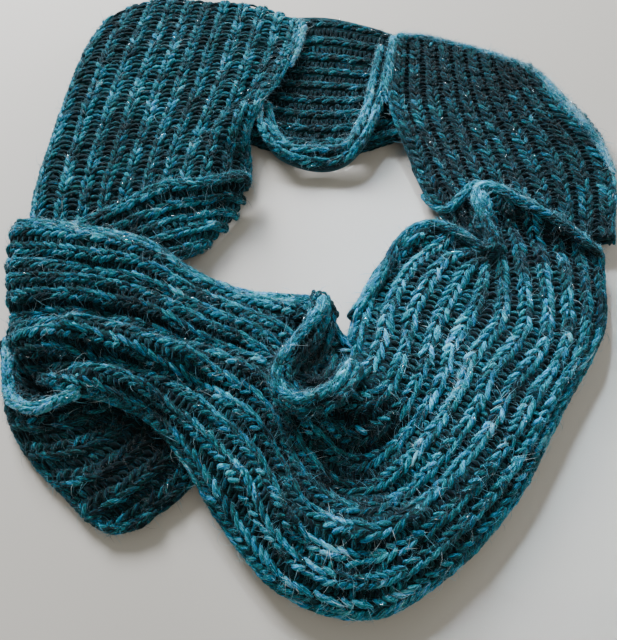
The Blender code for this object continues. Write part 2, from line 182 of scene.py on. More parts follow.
# %% [markdown]
# ## The yarn
#
# The yarn is brushed wool and mohair: teal, petrol, navy and a little violet, carded together
# and only lightly spun, so short streaks of each colour run along every stitch.  Nothing about
# it is glossy, but its fuzz catches light at a grazing angle.  Every stitch carries two
# attributes: `grain`, its own millimetres along and round the yarn, which draws the streaks, and
# `tone`, how pale that bit of yarn is, with painted shade in folds and painted highlights on
# crests and far edges mixed into its random changes.  The purl bars and the plain cloth under
# the stitches get darker mixes of the same yarn, as painted shade for how deep they lie.

# %% Yarn material
YARN_STOPS = ((0.0, "#0a0f11"), (0.20, "#14292c"), (0.40, "#1a4a50"), (0.58, "#237682"),
              (0.74, "#2a9cb6"), (0.89, "#48bede"), (1.0, "#8edff2"))
STREAK = 0.9          # width of a streak of one colour, mm
STREAK_STRETCH = 0.12  # its width over its length
PATCH = 42.0          # size of a paler or darker patch of cloth, mm
PATCH_DEPTH = 0.55    # how far a patch may shift the colour along the stops
HUE_STOPS = ((0.34, "#98c4a4"), (0.5, "#c8c8c8"), (0.66, "#aaa0e6"))
HUE_MIX = 0.65        # how strongly green and violet tint the yarn
HUE_OFFSET = (31.0, 17.0, 5.0)   # keeps the hues from following the streaks
HUE_SCALE = (0.05, 0.5, 0.5)     # long slow changes along the yarn, per mm
COLOUR_A, COLOUR_B, COLOUR_OUT = 6, 7, 2   # the colour sockets of a Mix node


def yarn_material(name, tone_shift):
    """Streaked and mottled yarn.  A higher shift is paler."""
    made, tree, shader = new_material(name)
    grain = add_node(tree, "ShaderNodeAttribute", attribute_name="grain")
    streaks_at = add_node(tree, "ShaderNodeMapping", {"Vector": grain.outputs["Vector"],
                          "Scale": (STREAK_STRETCH / STREAK, 1 / STREAK, 1 / STREAK)})
    streaks = add_node(tree, "ShaderNodeTexNoise", {"Vector": streaks_at.outputs["Vector"], "Scale": 1.0,
                       "Detail": 3.0, "Roughness": 0.6})
    place = add_node(tree, "ShaderNodeTexCoord")
    patches = add_node(tree, "ShaderNodeTexNoise", {"Vector": place.outputs["Object"],
                       "Scale": 1 / (PATCH * MM), "Detail": 2.0})
    tone = add_node(tree, "ShaderNodeAttribute", attribute_name="tone")
    streaked = add_node(tree, "ShaderNodeMath", {0: streaks.outputs["Fac"], 1: 2.0, 2: -1.0 + tone_shift},
                        operation="MULTIPLY_ADD")
    patched = add_node(tree, "ShaderNodeMath", {0: patches.outputs["Fac"], 1: PATCH_DEPTH,
                       2: -PATCH_DEPTH / 2}, operation="MULTIPLY_ADD")
    mixed = add_node(tree, "ShaderNodeMath", {0: streaked.outputs[0], 1: patched.outputs[0]})
    mixed = add_node(tree, "ShaderNodeMath", {0: mixed.outputs[0], 1: tone.outputs["Fac"]}, use_clamp=True)
    ramp = add_node(tree, "ShaderNodeValToRGB", {"Fac": mixed.outputs[0]})
    set_ramp(ramp, YARN_STOPS)
    hues_at = add_node(tree, "ShaderNodeMapping", {"Vector": grain.outputs["Vector"],
                       "Location": HUE_OFFSET, "Scale": HUE_SCALE})
    hues = add_node(tree, "ShaderNodeTexNoise", {"Vector": hues_at.outputs["Vector"], "Scale": 1.0,
                    "Detail": 1.0})
    violet = add_node(tree, "ShaderNodeValToRGB", {"Fac": hues.outputs["Fac"]})
    set_ramp(violet, HUE_STOPS)
    tinted = add_node(tree, "ShaderNodeMix", {}, data_type="RGBA", blend_type="MULTIPLY")
    tinted.inputs["Factor"].default_value = HUE_MIX
    tree.links.new(ramp.outputs["Color"], tinted.inputs[COLOUR_A])
    tree.links.new(violet.outputs["Color"], tinted.inputs[COLOUR_B])
    tree.links.new(tinted.outputs[COLOUR_OUT], shader.inputs["Base Color"])
    bump = add_node(tree, "ShaderNodeBump", {"Height": streaks.outputs["Fac"], "Strength": 0.7,
                    "Distance": STREAK * MM})
    tree.links.new(bump.outputs["Normal"], shader.inputs["Normal"])
    set_values(shader, {"Roughness": 0.9, "Specular IOR Level": 0.15, "Sheen Weight": 0.28,
                        "Sheen Roughness": 0.45, "Sheen Tint": linear("#6cc6de")})
    return made


stitch_yarn = yarn_material("brushed_wool_mohair", 0.50)
# The next two are the same yarn set darker, as painted shade: one for the purl bars in the grooves and the
# lips of the folded layers, one for the plain cloth under the stitches.
shaded_yarn = yarn_material("brushed_wool_mohair_recess", 0.34)
ground_yarn_shaded = yarn_material("wool_ground", 0.20)
print("streaks", STREAK, "mm wide, patches", PATCH, "mm")

# %% Halo and glint materials
# The pale end of these stops is a painted glow of back light, for hairs along the far edges.
HALO_STOPS = ((0.0, "#06161c"), (0.4, "#1b687a"), (0.65, "#37a0bc"), (0.85, "#6acce6"), (1.0, "#d8f1f6"))
halo, tree, shader = new_material("mohair_halo")
tone = add_node(tree, "ShaderNodeAttribute", attribute_name="tone")
ramp = add_node(tree, "ShaderNodeValToRGB", {"Fac": tone.outputs["Fac"]})
set_ramp(ramp, HALO_STOPS)
tree.links.new(ramp.outputs["Color"], shader.inputs["Base Color"])
set_values(shader, {"Roughness": 0.6, "Sheen Weight": 0.35})
glint, tree, shader = new_material("silver_lurex")
set_values(shader, {"Base Color": linear("#dfe6ea"), "Metallic": 1.0, "Roughness": 0.22})
print("halo and glint ready")

# %% [markdown]
# ## The stretches of cloth that show
#
# Each stretch is a table.  A section is a row along the ribs, and gives guide points across them:
# how far right, how far away and how high the cloth lies between its ribs, in millimetres.  A
# smooth curve runs through the guide points, first across and then along, so a few numbers give
# a whole draped panel.  Folds are added as soft ridges and troughs.

# %% Tables of the stretches
Stretch = namedtuple("Stretch", "name ribs steps rolled turn under sections folds")

BACK_BRIDGE = Stretch(
    name="back_bridge", ribs=9, steps=2, rolled=("last",), turn=0.8, under=(),
    sections=(
        # near edge     quarter         middle          three quarters   far edge
        ((-90, 212, 12), (-95, 258, 12), (-95, 305, 12), (-95, 350, 12), (-95, 394, 9)),
        ((-50, 198, 13), (-50, 242, 13), (-52, 288, 13), (-52, 335, 13), (-54, 392, 9)),
        ((-15, 189, 13), (-15, 232, 13), (-15, 280, 13), (-15, 328, 13), (-15, 390, 9)),
        ((22, 187, 13), (23, 230, 13), (23, 277, 13), (24, 326, 13), (25, 390, 9)),
        ((55, 194, 13), (56, 233, 13), (58, 274, 13), (59, 320, 13), (62, 378, 9)),
        ((86, 203, 13), (88, 236, 13), (90, 274, 13), (92, 313, 13), (96, 362, 9)),
        ((118, 210, 12), (121, 240, 12), (124, 268, 12), (127, 296, 12), (130, 322, 9)),
    ),
    folds=(),
)

BRIDGE_RIM = Stretch(
    name="bridge_rim", ribs=2, steps=2, rolled=("first",), turn=0.8, under=("back_bridge",),
    sections=(
        # outer edge     crest           inner edge
        ((-56, 240, 11), (-47, 243, 18), (-40, 246, 16)),
        ((-53, 207, 8), (-44, 211, 17), (-36, 216, 16)),
        ((-33, 178, 5), (-27, 183, 18), (-20, 188, 13)),
        ((2, 167, 4), (3, 177, 17), (4, 187, 13)),
        ((36, 169, 5), (35, 178, 18), (34, 187, 14)),
        ((60, 190, 10), (52, 194, 24), (44, 199, 21)),
        ((74, 226, 16), (66, 229, 27), (57, 232, 22)),
        ((84, 272, 20), (76, 274, 28), (67, 276, 22)),
        ((92, 322, 21), (86, 324, 28), (78, 326, 22)),
    ),
    folds=(),
)

LEFT_PANEL = Stretch(
    name="left_panel", ribs=11, steps=3, rolled=("start", "first"), turn=0.9,
    under=("back_bridge", "bridge_rim"),
    sections=(
        # left edge        rib 2             rib 4             rib 7             rib 9            right edge
        ((-232, 376, 4), (-184, 404, 4), (-138, 403, 4), (-93, 396, 6), (-46, 385, 16), (-2, 366, 20)),
        ((-242, 352, 4), (-185, 388, 26), (-138, 388, 27), (-94, 381, 27), (-48, 370, 27), (-8, 352, 24)),
        ((-251, 314, 4), (-198, 315, 28), (-149, 320, 29), (-103, 321, 29), (-55, 321, 29), (-12, 324, 24)),
        ((-259, 248, 4), (-208, 241, 28), (-162, 246, 29), (-113, 253, 30), (-68, 254, 33), (-31, 266, 24)),
        ((-264, 184, 4), (-214, 176, 28), (-170, 180, 29), (-128, 185, 30), (-87, 190, 34), (-60, 212, 12)),
        ((-267, 134, 4), (-218, 126, 28), (-176, 128, 29), (-134, 132, 30), (-95, 140, 31), (-57, 168, 8)),
        ((-266, 86, 4), (-219, 82, 22), (-177, 92, 22), (-137, 110, 22), (-96, 122, 20), (-59, 144, 7)),
    ),
    folds=((-150, 360, -165, 150, 22, -2.5), (-205, 340, -215, 160, 20, 2.0),
           (-20, 312, -45, 245, 8, 4.5), (-45, 245, -84, 190, 8, 5.5),     # the turned-back front edge
           (-40, 330, -64, 250, 7, -4.0), (-64, 250, -104, 196, 7, -4.0)),
)

LEFT_UNDER_FOLD = Stretch(
    name="left_under_fold", ribs=5, steps=2, rolled=("end",), turn=1.0, under=("left_panel",),
    sections=(
        # selvedge         rib 1             rib 3             low edge
        ((-222, 82, 30), (-203, 62, 27), (-184, 42, 25), (-166, 22, 20)),
        ((-176, 103, 34), (-167, 82, 31), (-156, 62, 28), (-146, 42, 22)),
        ((-136, 125, 34), (-130, 102, 30), (-124, 79, 26), (-118, 52, 18)),
        ((-94, 130, 31), (-92, 112, 27), (-95, 90, 23), (-105, 62, 16)),
        ((-57, 148, 8), (-66, 122, 6), (-80, 98, 5), (-104, 70, 5)),
    ),
    folds=((-140, 92, -85, 100, 8, -3.0),),
)

RIGHT_LOWER_LAYER = Stretch(
    name="right_lower_layer", ribs=3, steps=2, rolled=("last",), turn=0.8, under=(),
    sections=(
        # hidden edge     middle          outer edge
        ((220, 292, 10), (238, 290, 12), (254, 280, 4)),
        ((238, 258, 12), (260, 257, 12), (284, 252, 4)),
        ((254, 212, 12), (279, 213, 13), (304, 212, 4)),
        ((258, 165, 12), (282, 168, 13), (305, 172, 4)),
        ((255, 118, 12), (278, 122, 13), (300, 128, 4)),
        ((248, 74, 10), (270, 74, 12), (291, 78, 4)),
    ),
    folds=(),
)

RIGHT_PANEL = Stretch(
    name="right_panel", ribs=10, steps=3, rolled=("start", "first"), turn=0.9,
    under=("back_bridge", "bridge_rim", "right_lower_layer"),
    sections=(
        # left edge       rib 2            rib 5            rib 7            right edge
        ((94, 342, 20), (134, 338, 6), (174, 326, 4), (213, 315, 5), (243, 297, 16)),
        ((93, 328, 22), (132, 325, 26), (170, 313, 26), (207, 301, 26), (245, 278, 24)),
        ((82, 242, 19), (130, 237, 28), (173, 235, 28), (217, 235, 28), (268, 232, 22)),
        ((98, 188, 5), (139, 180, 28), (184, 179, 28), (235, 181, 28), (298, 190, 19)),
        ((115, 134, 5), (151, 127, 28), (194, 126, 28), (243, 127, 28), (299, 134, 19)),
        ((138, 92, 6), (166, 74, 16), (204, 68, 20), (242, 68, 20), (284, 76, 16)),
    ),
    folds=((180, 300, 190, 140, 20, -2.0),),
)

LEFT_LOBE = Stretch(
    name="left_lobe", ribs=8, steps=3, rolled=("end",), turn=1.0, under=(),
    sections=(
        # under the sweep, hollow, turned band, then ribs 3, 4 and 6, and the right edge
        ((-224, -26, 6), (-206, -44, 12), (-184, -62, 17), (-146, -68, 16), (-117, -84, 15),
         (-93, -102, 13), (-73, -124, 8)),
        ((-243, -44, 5), (-220, -66, 12), (-200, -88, 20), (-162, -98, 18), (-133, -113, 17),
         (-109, -130, 15), (-88, -148, 8)),
        ((-262, -42, 5), (-240, -66, 10), (-226, -92, 26), (-200, -118, 22), (-165, -142, 20),
         (-136, -158, 18), (-112, -172, 6)),
        ((-274, -20, 4), (-261, -50, 8), (-251, -80, 6), (-238, -112, 4), (-204, -145, 4),
         (-169, -179, 4), (-151, -188, 4)),
    ),
    folds=(),
)

FRONT_SWEEP = Stretch(
    name="front_sweep", ribs=11, steps=3, rolled=("start", "last", "end"), turn=2.2,
    under=("left_panel", "left_under_fold", "left_lobe", "right_panel", "right_lower_layer"),
    sections=(
        # inner edge      rib 2             rib 4             rib 7             rib 9             outer edge
        ((-273, 83, 22), (-273, 50, 8), (-266, 12, 6), (-258, -26, 6), (-243, -50, 14), (-223, -70, 20)),
        ((-263, 81, 36), (-261, 44, 36), (-253, 8, 34), (-244, -26, 34), (-230, -52, 34), (-211, -76, 30)),
        ((-235, 77, 40), (-234, 42, 38), (-230, 10, 34), (-219, -21, 36), (-205, -52, 41), (-195, -84, 30)),
        ((-188, 67, 42), (-186, 35, 40), (-183, 8, 34), (-175, -27, 40), (-166, -60, 43), (-160, -92, 28)),
        ((-141, 54, 40), (-138, 22, 40), (-134, -7, 36), (-127, -44, 41), (-126, -76, 36), (-125, -109, 28)),
        ((-104, 28, 34), (-89, -6, 38), (-81, -37, 38), (-79, -68, 37), (-82, -107, 37), (-94, -143, 14)),
        ((-51, 8, 30), (-40, -29, 38), (-34, -62, 38), (-36, -98, 36), (-45, -142, 38), (-69, -182, 6)),
        ((8, 2, 30), (-1, -62, 35), (2, -112, 28), (-1, -158, 28), (-8, -200, 35), (-20, -233, 5)),
        ((25, -20, 24), (32, -86, 38), (38, -136, 19), (44, -180, 33), (46, -216, 34), (46, -250, 5)),
        ((34, -30, 20), (57, -80, 39), (76, -116, 26), (88, -154, 32), (100, -187, 34), (111, -214, 6)),
        ((36, -14, 20), (74, -48, 36), (105, -77, 36), (129, -107, 41), (150, -138, 34), (163, -162, 8)),
        ((42, 5, 20), (82, -16, 34), (119, -41, 34), (150, -69, 40), (181, -95, 34), (202, -101, 9)),
        ((58, 36, 22), (98, 20, 34), (144, -1, 32), (185, -24, 34), (222, -36, 32), (256, -20, 10)),
        # below the ruffle
        ((72, 52, 28), (104, 50, 34), (130, 40, 37), (152, 32, 34), (172, 52, 33), (196, 58, 32),
         (224, 48, 33), (246, 34, 32), (264, 23, 16)),
        # crest of the ruffled fold
        ((84, 60, 36), (110, 70, 42), (128, 66, 42), (144, 54, 40), (157, 43, 37), (169, 53, 40),
         (166, 76, 43), (162, 95, 45), (165, 107, 47), (180, 105, 47), (196, 96, 46), (217, 87, 44),
         (232, 74, 42), (245, 63, 38), (256, 56, 34), (266, 48, 27)),
        # its underside, where it turns under
        ((86, 66, 24), (109, 77, 32), (129, 74, 32), (147, 61, 30), (158, 50, 27), (161, 58, 30),
         (156, 78, 33), (153, 98, 35), (161, 116, 37), (181, 114, 37), (198, 104, 36), (219, 96, 34),
         (236, 82, 32), (249, 71, 29), (260, 64, 25), (270, 56, 19)),
    ),
    folds=(
        (-250, -44, -196, -30, 9, 9.0), (-196, -30, -101, -58, 10, 11.0),  # the upper lit crease
        (-101, -58, -45, -72, 10, 6.0),
        (-222, -82, -176, -77, 8, 8.0), (-176, -77, -128, -81, 9, 9.0),    # the lower one
        (-128, -81, -86, -102, 9, 7.0),
        (-256, -10, -176, -8, 11, -12.0), (-176, -8, -106, -36, 10, -11.0),   # hollows beside them
        (-106, -36, -40, -52, 8, -6.0),
        (-236, -64, -177, -55, 8, -12.0), (-177, -55, -129, -65, 8, -11.0),
        (-129, -65, -87, -81, 7, -8.0), (176, 82, 232, 54, 11, -7.0),
        (-262, 50, -190, 34, 9, -6.0), (-190, 34, -110, 0, 8, -5.0),
        (-20, -128, 22, -158, 15, -7.0), (22, -158, 80, -164, 13, -9.0),   # the hollow in front of it
        (30, -122, 70, -128, 16, -5.0), (72, -140, 104, -122, 11, 5.0),
        (-97, -105, -52, -157, 8, 4.0), (-52, -157, -11, -186, 8, 6.0),    # and the lit ridge round that
        (-11, -186, 34, -198, 8, 8.0), (34, -198, 80, -184, 8, 7.0), (80, -184, 126, -150, 9, 5.0),
        (10, -46, 12, -60, 27, -16.0),                                     # dent below the pocket
        (126, -150, 185, -90, 12, 4.0),
        (190, 80, 240, 48, 12, -5.0), (95, 50, 122, 52, 9, -3.0),
    ),
)

POCKET = Stretch(
    name="pocket", ribs=3, steps=2, rolled=("start",), turn=1.0, under=("front_sweep",),
    sections=(
        # outer foot      crest            inner slope      bottom
        ((4, 6, 38), (13, 2, 44), (19, -4, 36), (23, -12, 26)),
        ((-3, -28, 42), (5, -32, 49), (13, -32, 39), (20, -30, 27)),
        ((-14, -44, 44), (-6, -49, 51), (5, -48, 39), (16, -43, 27)),
        ((-26, -56, 44), (-17, -61, 51), (-5, -60, 39), (10, -54, 27)),
        ((-32, -74, 43), (-23, -77, 50), (-10, -73, 39), (6, -62, 27)),
        ((-27, -95, 44), (-18, -93, 51), (-7, -83, 39), (7, -68, 27)),
        ((-8, -108, 43), (-5, -99, 51), (1, -87, 39), (9, -70, 27)),
        ((13, -106, 42), (10, -97, 50), (11, -84, 39), (13, -69, 27)),
        ((34, -92, 40), (27, -84, 48), (20, -74, 38), (17, -62, 27)),
        ((46, -68, 32), (37, -61, 40), (28, -55, 34), (21, -49, 26)),
    ),
    folds=(),
)

STRETCHES = (BACK_BRIDGE, BRIDGE_RIM, RIGHT_LOWER_LAYER, LEFT_LOBE, LEFT_PANEL, RIGHT_PANEL,
             LEFT_UNDER_FOLD, FRONT_SWEEP, POCKET)
print(len(STRETCHES), "stretches,", sum(stretch.ribs for stretch in STRETCHES), "ribs")

# %% [markdown]
# ## From guide points to a surface
#
# `u` runs along the ribs and `v` across them, both from 0 to 1.  The functions work on whole
# arrays of `u` and `v` at once, which keeps thousands of stitches quick to place.  Where a
# stretch lies on another, it is lifted clear by feeling for the top of the layer below.

# %% Curves
def spline(points, t):
    """Points on the smooth curve through a row of points, at each t."""
    points, t = np.asarray(points, float), np.asarray(t, float)
    last = len(points) - 1
    i = np.clip((t * last).astype(int), 0, last - 1)
    f = (t * last - i).reshape([-1] + [1] * (points.ndim - 1))
    padded = np.concatenate((2 * points[:1] - points[1:2], points, 2 * points[-1:] - points[-2:-1]))
    a, b, c, d = (padded[i + k] for k in range(4))
    return 0.5 * (2 * b + (c - a) * f + (2 * a - 5 * b + 4 * c - d) * f ** 2
                  + (3 * b - a - 3 * c + d) * f ** 3)


def quarter_round(t):
    """Height of a rolled edge, 0 at the edge and 1 once it is level."""
    return np.sqrt(1 - (1 - np.clip(t, 0, 1)) ** 2)


def unit(vectors):
    """The vectors at length 1."""
    return vectors / np.maximum(np.linalg.norm(vectors, axis=-1, keepdims=True), 1e-9)


def running_length(line):
    """Length along a row of points, from the first one to each of them."""
    return np.concatenate(((0.0,), np.linalg.norm(np.diff(line, axis=0), axis=1).cumsum()))


def points_at(line, run, places):
    """Points of a line at the given places along its run."""
    return np.column_stack([np.interp(places, run, column) for column in np.asarray(line, float).T])


# %% Surface of a stretch
WALL = 5.0            # thickness of the plain cloth
REST = 0.5            # room left over the ribs of the layer below
REACH = 6.0           # how far round a point the layer below is felt for
SPREAD = 0.9          # how much of a lift the cloth next to it shares
AROUND = ((0, 0), (REACH, 0), (-REACH, 0), (0, REACH), (0, -REACH))


def levelled(stretch, i):
    """A section with its rolled edges raised to the height next to them."""
    rows = stretch.sections
    source = 1 if i == 0 and "start" in stretch.rolled else i
    source = i - 1 if i == len(rows) - 1 and "end" in stretch.rolled else source
    row = np.array(rows[i], float)
    row[:, 2] = spline(rows[source], np.linspace(0, 1, len(row)))[:, 2]
    if "first" in stretch.rolled:
        row[0, 2] = row[1, 2]
    if "last" in stretch.rolled:
        row[-1, 2] = row[-2, 2]
    return row


def plain_surface(stretch, u, v):
    """The cloth between its ribs, before it is lifted over what it lies on."""
    p = spline([spline(levelled(stretch, i), v) for i in range(len(stretch.sections))], u)
    level = p[..., 2].copy()
    for x0, y0, x1, y1, half_width, height in stretch.folds:
        along = np.array((x1 - x0, y1 - y0), float)
        reach = p[..., :2] - (x0, y0)
        t = np.clip(reach @ along / (along @ along), 0, 1)
        away = np.linalg.norm(reach - t[..., None] * along, axis=-1) / half_width
        level += height * np.exp(-away ** 2)
    first, last = (np.array([row[j] for row in stretch.sections], float) for j in (0, -1))
    share = stretch.ribs / stretch.turn
    edges = {"first": (spline(first, u)[:, 2][:, None], v[None] * share),
             "last": (spline(last, u)[:, 2][:, None], (1 - v)[None] * share),
             "start": (spline(stretch.sections[0], v)[:, 2][None], u[:, None] * (len(first) - 1)),
             "end": (spline(stretch.sections[-1], v)[:, 2][None], (1 - u)[:, None] * (len(first) - 1))}
    drop = 0.0
    for side in stretch.rolled:
        edge, away = edges[side]
        drop = drop + np.maximum(level - edge, 0) * (1 - quarter_round(away))
    lowest = min(first[:, 2].min(), last[:, 2].min())
    p[..., 2] = np.maximum(level - drop, np.minimum(lowest, level))
    return p


def outward(p, u, v):
    """Unit normals of a grid of points, on the upper side."""
    n = unit(np.cross(np.gradient(p, u, axis=0), np.gradient(p, v, axis=1)))
    return n if n[len(u) // 2, len(v) // 2, 2] > 0 else -n


def ray_tree(thing):
    """An object's mesh, ready for rays and nearest points."""
    return BVHTree.FromPolygons([vert.co for vert in thing.data.vertices],
                                [poly.vertices[:] for poly in thing.data.polygons])


trees = {stretch.name: ray_tree(frame["nodes"][stretch.name]) for stretch in STRETCHES}
DOWN, UP = Vector((0, 0, -1)), Vector((0, 0, 1))
ABOVE_ALL = 0.2       # a height over the whole scarf, m


def near(field):
    """The nine values round each value of a grid, as one array."""
    padded = np.pad(field, 1, mode="edge")
    rows, columns = field.shape
    return np.array([padded[a:a + rows, b:b + columns] for a in range(3) for b in range(3)])


def lift_grid(stretch):
    """How far the cloth is raised to lie on the layers below, on a coarse grid."""
    u = np.linspace(0, 1, stretch.steps * (len(stretch.sections) - 1) + 1)
    v = np.linspace(0, 1, 3 * stretch.ribs + 1)
    p = plain_surface(stretch, u, v)
    back = (p - outward(p, u, v) * WALL + CENTRE) * MM
    needed = np.zeros(p.shape[:2])
    for i, j in np.ndindex(needed.shape):
        x, y, z = back[i, j]
        for name in stretch.under:
            for dx, dy in AROUND:
                top = trees[name].ray_cast(Vector((x + dx * MM, y + dy * MM, ABOVE_ALL)), DOWN)[0]
                if top:
                    needed[i, j] = max(needed[i, j], (top.z - z) / MM + REST)
    return np.maximum(needed, SPREAD * near(near(needed).max(0)).mean(0))


def resample(grid, u, v):
    """A coarse grid's values at u and v."""
    return spline(spline(grid, u).T, v).T


class Cloth:
    """A stretch with its lifts, as points in the model's millimetres."""

    def __init__(self, stretch):
        self.stretch = stretch
        self.lift = lift_grid(stretch)

    def plain(self, u, v):
        """The cloth between its ribs, as a grid of points."""
        p = plain_surface(self.stretch, u, v) + CENTRE
        p[..., 2] += resample(self.lift, u, v)
        return p


cloths = {stretch.name: Cloth(stretch) for stretch in STRETCHES}
print("highest lift", round(max(cloth.lift.max() for cloth in cloths.values()), 1), "mm")

# %% [markdown]
# ## The ground cloth
#
# Under the stitches lies a closed sheet with soft ribs.  It fills the cloth's thickness, so no
# light leaks between stitches, and it gives the deep grooves their dark floor, made darker still
# in its yarn as painted shade.  A flat grid is bent to the table's surface, extruded for its other
# face, and its rim is thinned to a round edge, because knitting has no square edges.

# %% Ground sheets
RIB_RISE = 3.0        # how far the ground stands up under a rib
GROOVE = 0.8          # how far it sinks between ribs
EDGE = 2.4            # width of the rounded rim
STEP_ALONG = 5.0      # spacing of the ground's rows
STEPS_RIB = 6         # its columns to a rib
RIB_SHAPE = 2.4       # higher is a flatter rib with steeper sides
THIN_RIM = 0.12       # thickness of the rim's very edge, as a share of the cloth's
CLEAR = 0.3           # no stitch or hair comes nearer than this to the floor
GROUND_CLEAR = 0.0004  # nor the ground nearer than this, m


def relief(v, ribs):
    """Height of the ground over the plain cloth, across the ribs."""
    away = np.abs(2 * ((v * ribs) % 1) - 1)
    return (RIB_RISE + GROOVE) * (1 - away ** RIB_SHAPE) - GROOVE


def stations(count, length):
    """Even steps from 0 to 1, with two more near each end for the rounded rim."""
    rim = np.array((0.25, 1.0)) * EDGE / length
    inner = np.linspace(0, 1, count + 1)[1:-1]
    inner = inner[(inner > rim[-1] * 1.3) & (inner < 1 - rim[-1] * 1.3)]
    return np.concatenate(((0,), rim, inner, 1 - rim[::-1], (1,)))


def spans(cloth):
    """Length along the middle rib and width across the middle, in mm."""
    t = np.linspace(0, 1, 60)
    along = cloth.plain(t, np.array((0.5, 0.51)))[:, 0]
    across = cloth.plain(np.array((0.5, 0.51)), t)[0]
    return [float(np.linalg.norm(np.diff(line, axis=0), axis=1).sum()) for line in (along, across)]


def numbered_grid(columns, rows):
    """A flat grid, and the layer that numbers its vertices row by row."""
    bm = bmesh.new()
    order = bm.verts.layers.int.new("order")
    made = bmesh.ops.create_grid(bm, x_segments=columns - 1, y_segments=rows - 1, size=1.0)
    in_rows = sorted(made["verts"], key=lambda vert: (round(vert.co.y, 5), round(vert.co.x, 5)))
    for number, vert in enumerate(in_rows):
        vert[order] = number
    return bm, order


def close_body(bm, order):
    """Drop the numbers of a body made from a grid, and turn its faces outward."""
    bm.verts.layers.int.remove(order)
    bmesh.ops.recalc_face_normals(bm, faces=bm.faces)
    if bm.calc_volume(signed=True) < 0:
        bmesh.ops.reverse_faces(bm, faces=bm.faces)


def add_object(name, mesh, finish):
    """A finished mesh as an object that goes with the scarf."""
    mesh.shade_smooth()
    mesh.materials.append(finish)
    thing = bpy.data.objects.new(name, mesh)
    bpy.context.collection.objects.link(thing)
    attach(thing, "root")
    return thing


def set_attributes(mesh, grain, tone):
    """Give every point its place in the yarn's streaks and its paleness."""
    mesh.attributes.new("grain", "FLOAT_VECTOR", "POINT").data.foreach_set("vector", grain.ravel())
    mesh.attributes.new("tone", "FLOAT", "POINT").data.foreach_set("value", tone.ravel())


def add_plain(name, bm):
    """A body of plain cloth, with its grain taken from where it lies."""
    mesh = bpy.data.meshes.new(name)
    bm.to_mesh(mesh)
    bm.free()
    places = np.array([vert.co for vert in mesh.vertices]) / MM
    set_attributes(mesh, places, np.zeros(len(places)))
    return add_object(name, mesh, ground_yarn_shaded)


def face_area(thing):
    """The area of one face of a closed sheet, m2."""
    return sum(poly.area for poly in thing.data.polygons) / 2


def ground_sheet(cloth):
    """The closed sheet under a stretch's stitches."""
    stretch = cloth.stretch
    length, width = spans(cloth)
    u = stations(max(round(length / STEP_ALONG), 8), length)
    v = stations(stretch.ribs * STEPS_RIB, width)
    plain = cloth.plain(u, v)
    normal = outward(plain, u, v)
    reach = np.minimum(np.minimum(u, 1 - u)[:, None] * length, np.minimum(v, 1 - v)[None] * width)
    half = WALL / 2 * np.maximum(quarter_round(reach / EDGE), THIN_RIM)
    middle = plain - normal * WALL / 2
    top = middle + normal * (half * (1 + relief(v, stretch.ribs)[None] * 2 / WALL))[..., None]
    under = middle - normal * half[..., None]
    bm, order = numbered_grid(len(v), len(u))
    copied = bmesh.ops.extrude_face_region(bm, geom=list(bm.faces))["geom"]
    lower = {part for part in copied if isinstance(part, bmesh.types.BMVert)}
    sides = (top.reshape(-1, 3) * MM, under.reshape(-1, 3) * MM)
    for vert in bm.verts:
        vert.co = sides[vert in lower][vert[order]]
        vert.co.z = max(vert.co.z, GROUND_CLEAR)
    close_body(bm, order)
    thing = add_plain(stretch.name + "_ground", bm)
    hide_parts(stretch.name)
    print(f"{stretch.name}: {length:.0f} x {width:.0f} mm, {face_area(thing) * 1e4:.0f} cm2")
    return thing


grounds = {name: ground_sheet(cloth) for name, cloth in cloths.items()}
ground_trees = {name: ray_tree(thing) for name, thing in grounds.items()}

# %% [markdown]
# ## Real stitches
#
# A knit stitch shows as a V: two legs of yarn that lean apart and tuck under the next stitch.
# In rib, columns of Vs stand up and the purl columns between them sink, showing a ladder of
# short bars.  One leg is shaped from a small sphere.  It is then copied thousands of times with
# array arithmetic, each copy stretched between two points of the cloth's surface, which is far
# quicker than thousands of objects and gives the same mesh.

# %% Knit sizes
# Sizes are in mm, and a spread is the standard deviation of a random change.
LEG_REACH = 11.5      # how far a leg runs along its rib
LEG_TUCK = 0.25       # the share of it that tucks under the stitch before
LEG_WIDE, LEG_THICK = 4.3, 3.7
LEG_SPREAD = 0.6
PITCH_SPREAD = 0.7
LEAN_SPREAD = 0.14    # as a share of the lean
FOOT_GAP = 0.03       # half the gap between the feet of a V, in ribs
TIP_LIFT, TOP_LIFT = 1.0, 0.1   # how far a leg's two ends stand off the cloth
BAR_THICK = 3.2
BAR_SPREAD = 0.5
BAR_SLANT = 0.8       # spread of how far a bar's ends are out of line
BAR_LIFT = 0.3
BAR_SPACING = 1.35    # from one bar to the next, in bar widths
BAR_PAST = 1.6        # how far a bar's ends run under the columns beside it
NARROW_GROOVE = 3.5   # a groove no wider than this shows no bars
CHAIN_PITCH, CHAIN_LEG = 6.2, 13.0
PLY_TURN = 2.6        # how far the streaks wind round a leg, in radians
SIZE_SPREAD, SIZE_LEAST, SIZE_MOST = 0.12, 0.75, 1.3   # thick and thin yarn
